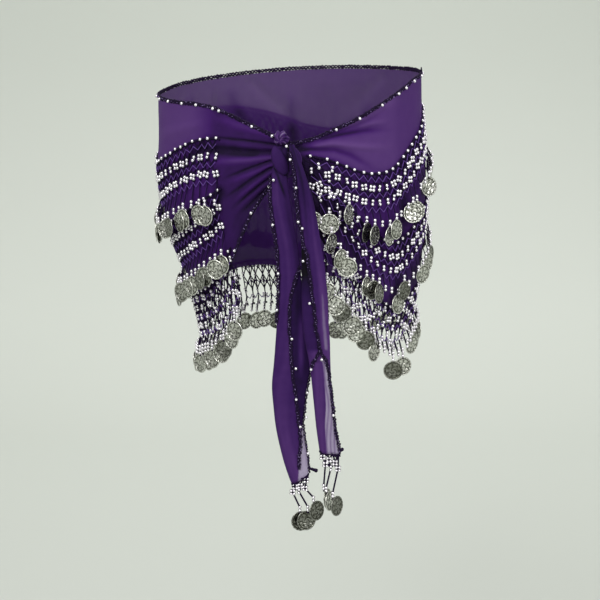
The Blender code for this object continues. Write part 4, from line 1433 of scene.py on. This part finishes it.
class HIPSCARF_OT_tie_ends(bpy.types.Operator):
    """Finish the ties with their small nets and coins"""
    bl_idname = "hipscarf.tie_ends"
    bl_label = "Tie end nets and coins"

    def execute(self, context):
        trim = trim_of(context)
        for side in TIES:
            self.coins(side, trim, self.net(side, trim))
        return {"FINISHED"}

    def net(self, side, trim):
        """The small net. Gives its lower knots, which the coins hang from."""
        end = TIES[side][-1]
        wide = end.right - end.left - 3.4

        def spot(share, drop):
            slanted = HEM_SLANT[side] * (1 - share) * (1 - drop / 26.0)
            return end.left + 1.7 + wide * share, end.depth, end.height - slanted - drop

        tops = [spot(share, 0.2) for share in (0.0, 0.33, 0.67, 1.0)]
        firsts, seconds = ([spot(share, drop) for share, drop in knots] for knots in END_KNOTS[side])
        pairs = []
        for k, first in enumerate(firsts):
            pairs += [(tops[k], first), (tops[k + 1], first), (first, seconds[k])]
        pairs += [(firsts[0], seconds[1]), (firsts[2], seconds[1]), (firsts[1], seconds[0]),
                  (firsts[1], seconds[2]), (tops[0], seconds[0]), (tops[3], seconds[2])]
        beads = []
        for k, (x, y, z) in enumerate(firsts + seconds):
            pattern = ((-1, 1), (1, 1), (-1, -1), (1, -1)) if k != 4 else ((0, 1), (0, -1))
            beads += [(x + dx * trim.bead * 0.92, y - 1.0, z + dz * trim.bead * 0.98) for dx, dz in pattern]
        hem = [spot(share, -0.4 + 0.8 * math.sin(9 * share)) for share in np.linspace(-0.06, 1.06, 20)]
        groups = [threads(pairs, trim.thread * 1.1, 0),
                  # the stitch behind each bead is wider than it and shows as a dark outline, partly painted
                  # shade
                  dots(STITCH, beads + BEHIND_BEAD, trim.bead * 1.06, 0),
                  dots(BEAD, beads, trim.bead * 0.84, 1)]
        groups += [(*group[:3], 0) for group in edging_groups(hem + FORWARD, FORWARD, -UP, 3.0, 1.1)]
        add_scattered(side.capitalize() + " tie net", groups, [chain_material(), bead_material()],
                      "net_tail_" + side)
        return np.array(seconds)

    def coins(self, side, trim, knots):
        """Three coins, each on a string with two beads."""
        x, height, turn, lean, tones = np.array(TIE_COINS[side]).T
        turn, lean = np.radians(turn), np.radians(lean)
        centres = points_of(x, knots[:, 1] + (1.6 - 2.4 * np.arange(3)), height)
        hung = points_of(-np.sin(lean), 0.0, np.cos(lean))
        top = centres + trim.coin * COIN_EYE * hung
        lower = top + UP * (trim.bead * 1.4)
        upper = lower + UP * (trim.bead * 2.1)
        face = unit(points_of(np.sin(turn), -np.cos(turn), 0.1))
        across = unit(np.cross(hung, face))
        frames = np.stack([across, np.cross(face, across), face], axis=2)
        strings = (np.stack([knots, lower], axis=1), np.stack([upper, top], axis=1))
        beads = np.stack([upper, lower], axis=1).reshape(-1, 3)
        groups = [threads([strings], trim.thread * 1.05, 0),
                  # the stitch behind each bead is wider than it and shows as a dark outline, partly painted
                  # shade
                  dots(STITCH, beads + BEHIND_BEAD, trim.bead * 1.14, 0),
                  dots(BEAD, beads, trim.bead, 1), (coin_shape(trim), frames, centres, 2)]
        materials = [chain_material(), bead_material(), coin_material()]
        add_scattered(side.capitalize() + " tie coins", groups, materials, "coins_tail_" + side,
                      tones)


class HIPSCARF_OT_knot(bpy.types.Operator):
    """Tie the knot: its wound middle, the crumpled tuft and the leaf-shaped turn"""
    bl_idname = "hipscarf.knot"
    bl_label = "Knot"

    def execute(self, context):
        self.lump("Knot", "knot_core", (-5.0, -127.6, 7.0), (15.5, 7.4, 18.0), self.wound)
        self.lump("Knot tuft", "knot_knob", (-11.0, -129.6, 31.2), (8.6, 7.4, 8.8), self.crumpled)
        mesh = cloth_mesh("Knot leaf", 28, 44, self.leaf_place, self.leaf_shade, (20.0, 34.0))
        obj = link_object("Knot leaf", mesh, [folded_material()], "knot_flap")
        thicken(obj, 0.9, -1.0)
        return {"FINISHED"}

    def wound(self, x, y, z):
        """The swell of cloth wound slantwise round itself, and its shade, painted lighter where it swells
        out.
        """
        fold = np.cos(3 * np.arctan2(y, x) + 2.5 * z) + 0.5 * np.cos(7 * np.arctan2(y, x) - 2.6 * z + 1.1)
        return 1 + 0.05 * fold * np.hypot(x, y), 0.76 - 0.16 * fold

    def crumpled(self, x, y, z):
        """The swell of a ruffled tuft, seen from the front, and its shade, painted lighter on its lobes."""
        turn = np.arctan2(z + 0.35, x + 0.1)
        far = np.hypot(x, z + 0.35)
        lobe = np.abs(np.cos(2.5 * turn + 0.5 + 0.7 * np.sin(2 * turn + 3 * far))) ** 0.8
        pleat = np.cos(11 * turn + 9 * far)
        swell = 0.78 + 0.26 * lobe * np.minimum(far, 1) + 0.05 * pleat * far + 0.1 * np.cos(6 * far + turn)
        return swell, 0.86 - 0.46 * lobe + 0.16 * pleat - 0.06 * far

    def lump(self, title, node, centre, half, form):
        mesh, points = primitive_mesh(title, bmesh.ops.create_icosphere, subdivisions=5, radius=1.0)
        swell, shade = form(*points.T)
        cut = np.stack([np.arctan2(points[:, 1], points[:, 0]) * half[0], points[:, 2] * half[2]], axis=1)
        shape_cloth(mesh, points * swell[:, None] * half + centre, shade, cut)
        link_object(title, mesh, [folded_material()], node)

    def leaf_place(self, across, down):
        height = LEAF_HEIGHTS[-1] + (LEAF_HEIGHTS[0] - LEAF_HEIGHTS[-1]) * down
        left = Curve(LEAF_HEIGHTS, LEAF_LEFT)(height)
        right = Curve(LEAF_HEIGHTS, LEAF_RIGHT)(height)
        plump = np.clip(4 * across * (1 - across), 0, 1) ** 0.6 * np.sin(math.pi * down) ** 0.5
        crease = 0.5 * np.exp(-((across - 0.72 + 0.2 * down) / 0.1) ** 2) * plump
        return points_of(left + (right - left) * across, -134.8 - 1.6 * down - 3.4 * plump + crease, height)

    def leaf_shade(self, across, down):
        # lighter towards the upper left as seen from the front, a painted sheen, and darker at the rim
        rim = np.maximum(np.abs(2 * across - 1), np.abs(2 * down - 1)) ** 10
        return 0.60 + 0.14 * across + 0.08 * down + 0.22 * rim


class HIPSCARF_OT_stage(bpy.types.Operator):
    """Set the pale floor, the soft lights and the camera"""
    bl_idname = "hipscarf.stage"
    bl_label = "Stage"

    def execute(self, context):
        scene = context.scene
        self.backdrop(scene.hip_scarf_stage)
        for light in LIGHTS:
            self.light(light)
        world = bpy.data.worlds.get("Studio") or bpy.data.worlds.new("Studio")
        world.use_nodes = True
        self.sky(Graph(world.node_tree))
        scene.world = world
        scene.view_settings.view_transform = "Standard"
        lens = bpy.data.cameras.new("Camera")
        lens.sensor_width = SENSOR_WIDTH
        lens.lens = SENSOR_WIDTH / (2 * math.tan(math.radians(CAMERA_VIEW) / 2))
        camera = bpy.data.objects.new("Camera", lens)
        scene.collection.objects.link(camera)
        camera.location = CAMERA_AT
        camera.rotation_euler = (math.radians(90 - CAMERA_TILT), 0, 0)
        scene.camera = camera
        return {"FINISHED"}

    def sky(self, graph):
        """A pale room that is brighter overhead, which the coins and beads reflect."""
        up = graph.axis(graph.add("TexCoord")["Generated"], "Z")
        colour = graph.ramp(up, ((0.1, (0.42, 0.43, 0.41)), (0.6, (1.0, 1.0, 0.98))))
        graph.feed(graph.nodes["Background"], {"Color": colour, "Strength": 0.8})

    def paint(self, graph, colour):
        """The backdrop's colour, with painted shade that makes it deeper in front."""
        depth = graph.remap(graph.axis(graph.add("TexCoord")["Object"], "Y"), 0.1, 2.2)
        deep = (*(0.78 * value for value in colour), 1)
        return {"Base Color": graph.blend(depth, deep, (*colour, 1)), "Roughness": 0.9}

    def backdrop(self, stage):
        """A floor that turns up into a wall, swept from one edge."""
        bm = bmesh.new()
        corners = [(side * BACKDROP_HALF, BACKDROP_FRONT, -stage.floor_drop) for side in (-1, 1)]
        edges = [bm.edges.new([bm.verts.new(corner) for corner in corners])]
        angles = [math.pi / 2 * k / BEND_STEPS for k in range(BEND_STEPS + 1)]
        bend = [(0, math.sin(b) - math.sin(a), math.cos(a) - math.cos(b)) for a, b in zip(angles, angles[1:])]
        for move in [(0, FLOOR_DEPTH, 0)] + bend + [(0, 0, WALL_HEIGHT)]:
            grown = bmesh.ops.extrude_edge_only(bm, edges=edges)["geom"]
            verts = [item for item in grown if isinstance(item, bmesh.types.BMVert)]
            bmesh.ops.translate(bm, verts=verts, vec=move)
            edges = [item for item in grown if isinstance(item, bmesh.types.BMEdge)
                     and item.is_boundary and all(vert in verts for vert in item.verts)]
        bmesh.ops.recalc_face_normals(bm, faces=bm.faces)
        mesh = bpy.data.meshes.new("Backdrop")
        bm.to_mesh(mesh)
        bm.free()
        mesh.polygons.foreach_set("use_smooth", [True] * len(mesh.polygons))
        mesh.materials.append(new_material("Backdrop Paint", lambda graph: self.paint(graph, stage.backdrop)))
        add_object("Backdrop", mesh)

    def light(self, light):
        lamp = bpy.data.lights.new(light.name, "AREA")
        lamp.size = light.size
        lamp.energy = light.power
        obj = add_object(light.name, lamp)
        obj.visible_camera = False
        obj.location = light.place
        obj.rotation_euler = (Vector(LIT_SPOT) - Vector(light.place)).to_track_quat("-Z", "Y").to_euler()


class HIPSCARF_PT_panel(bpy.types.Panel):
    """Settings and steps of the hip scarf"""
    bl_idname = "HIPSCARF_PT_panel"
    bl_label = "Hip Scarf"
    bl_space_type = "VIEW_3D"
    bl_region_type = "UI"
    bl_category = "Hip Scarf"

    def draw(self, context):
        layout = self.layout
        for where in SETTINGS:
            box = layout.box()
            settings = getattr(context.scene, where)
            for name in settings.__annotations__:
                box.prop(settings, name)
        for step in STEPS:
            layout.operator(step.bl_idname)


SETTINGS = {"hip_scarf_cloth": HipScarfClothSettings, "hip_scarf_trim": HipScarfTrimSettings,
            "hip_scarf_stage": HipScarfStageSettings}
STEPS = (HIPSCARF_OT_chiffon, HIPSCARF_OT_nets, HIPSCARF_OT_fringes, HIPSCARF_OT_edgings, HIPSCARF_OT_knot,
         HIPSCARF_OT_ties, HIPSCARF_OT_tie_edgings, HIPSCARF_OT_tie_ends, HIPSCARF_OT_stage)
CLASSES = (*SETTINGS.values(), *STEPS, HIPSCARF_PT_panel)


def register():
    for cls in CLASSES:
        bpy.utils.register_class(cls)
    for name, kind in SETTINGS.items():
        setattr(bpy.types.Scene, name, bpy.props.PointerProperty(type=kind))


def unregister():
    for name in SETTINGS:
        delattr(bpy.types.Scene, name)
    for cls in reversed(CLASSES):
        bpy.utils.unregister_class(cls)


def main():
    register()
    bpy.ops.hipscarf.chiffon()
    bpy.ops.hipscarf.nets()
    bpy.ops.hipscarf.fringes()
    bpy.ops.hipscarf.edgings()
    bpy.ops.hipscarf.knot()
    bpy.ops.hipscarf.ties()
    bpy.ops.hipscarf.tie_edgings()
    bpy.ops.hipscarf.tie_ends()
    bpy.ops.hipscarf.stage()


if __name__ == "__main__":
    main()
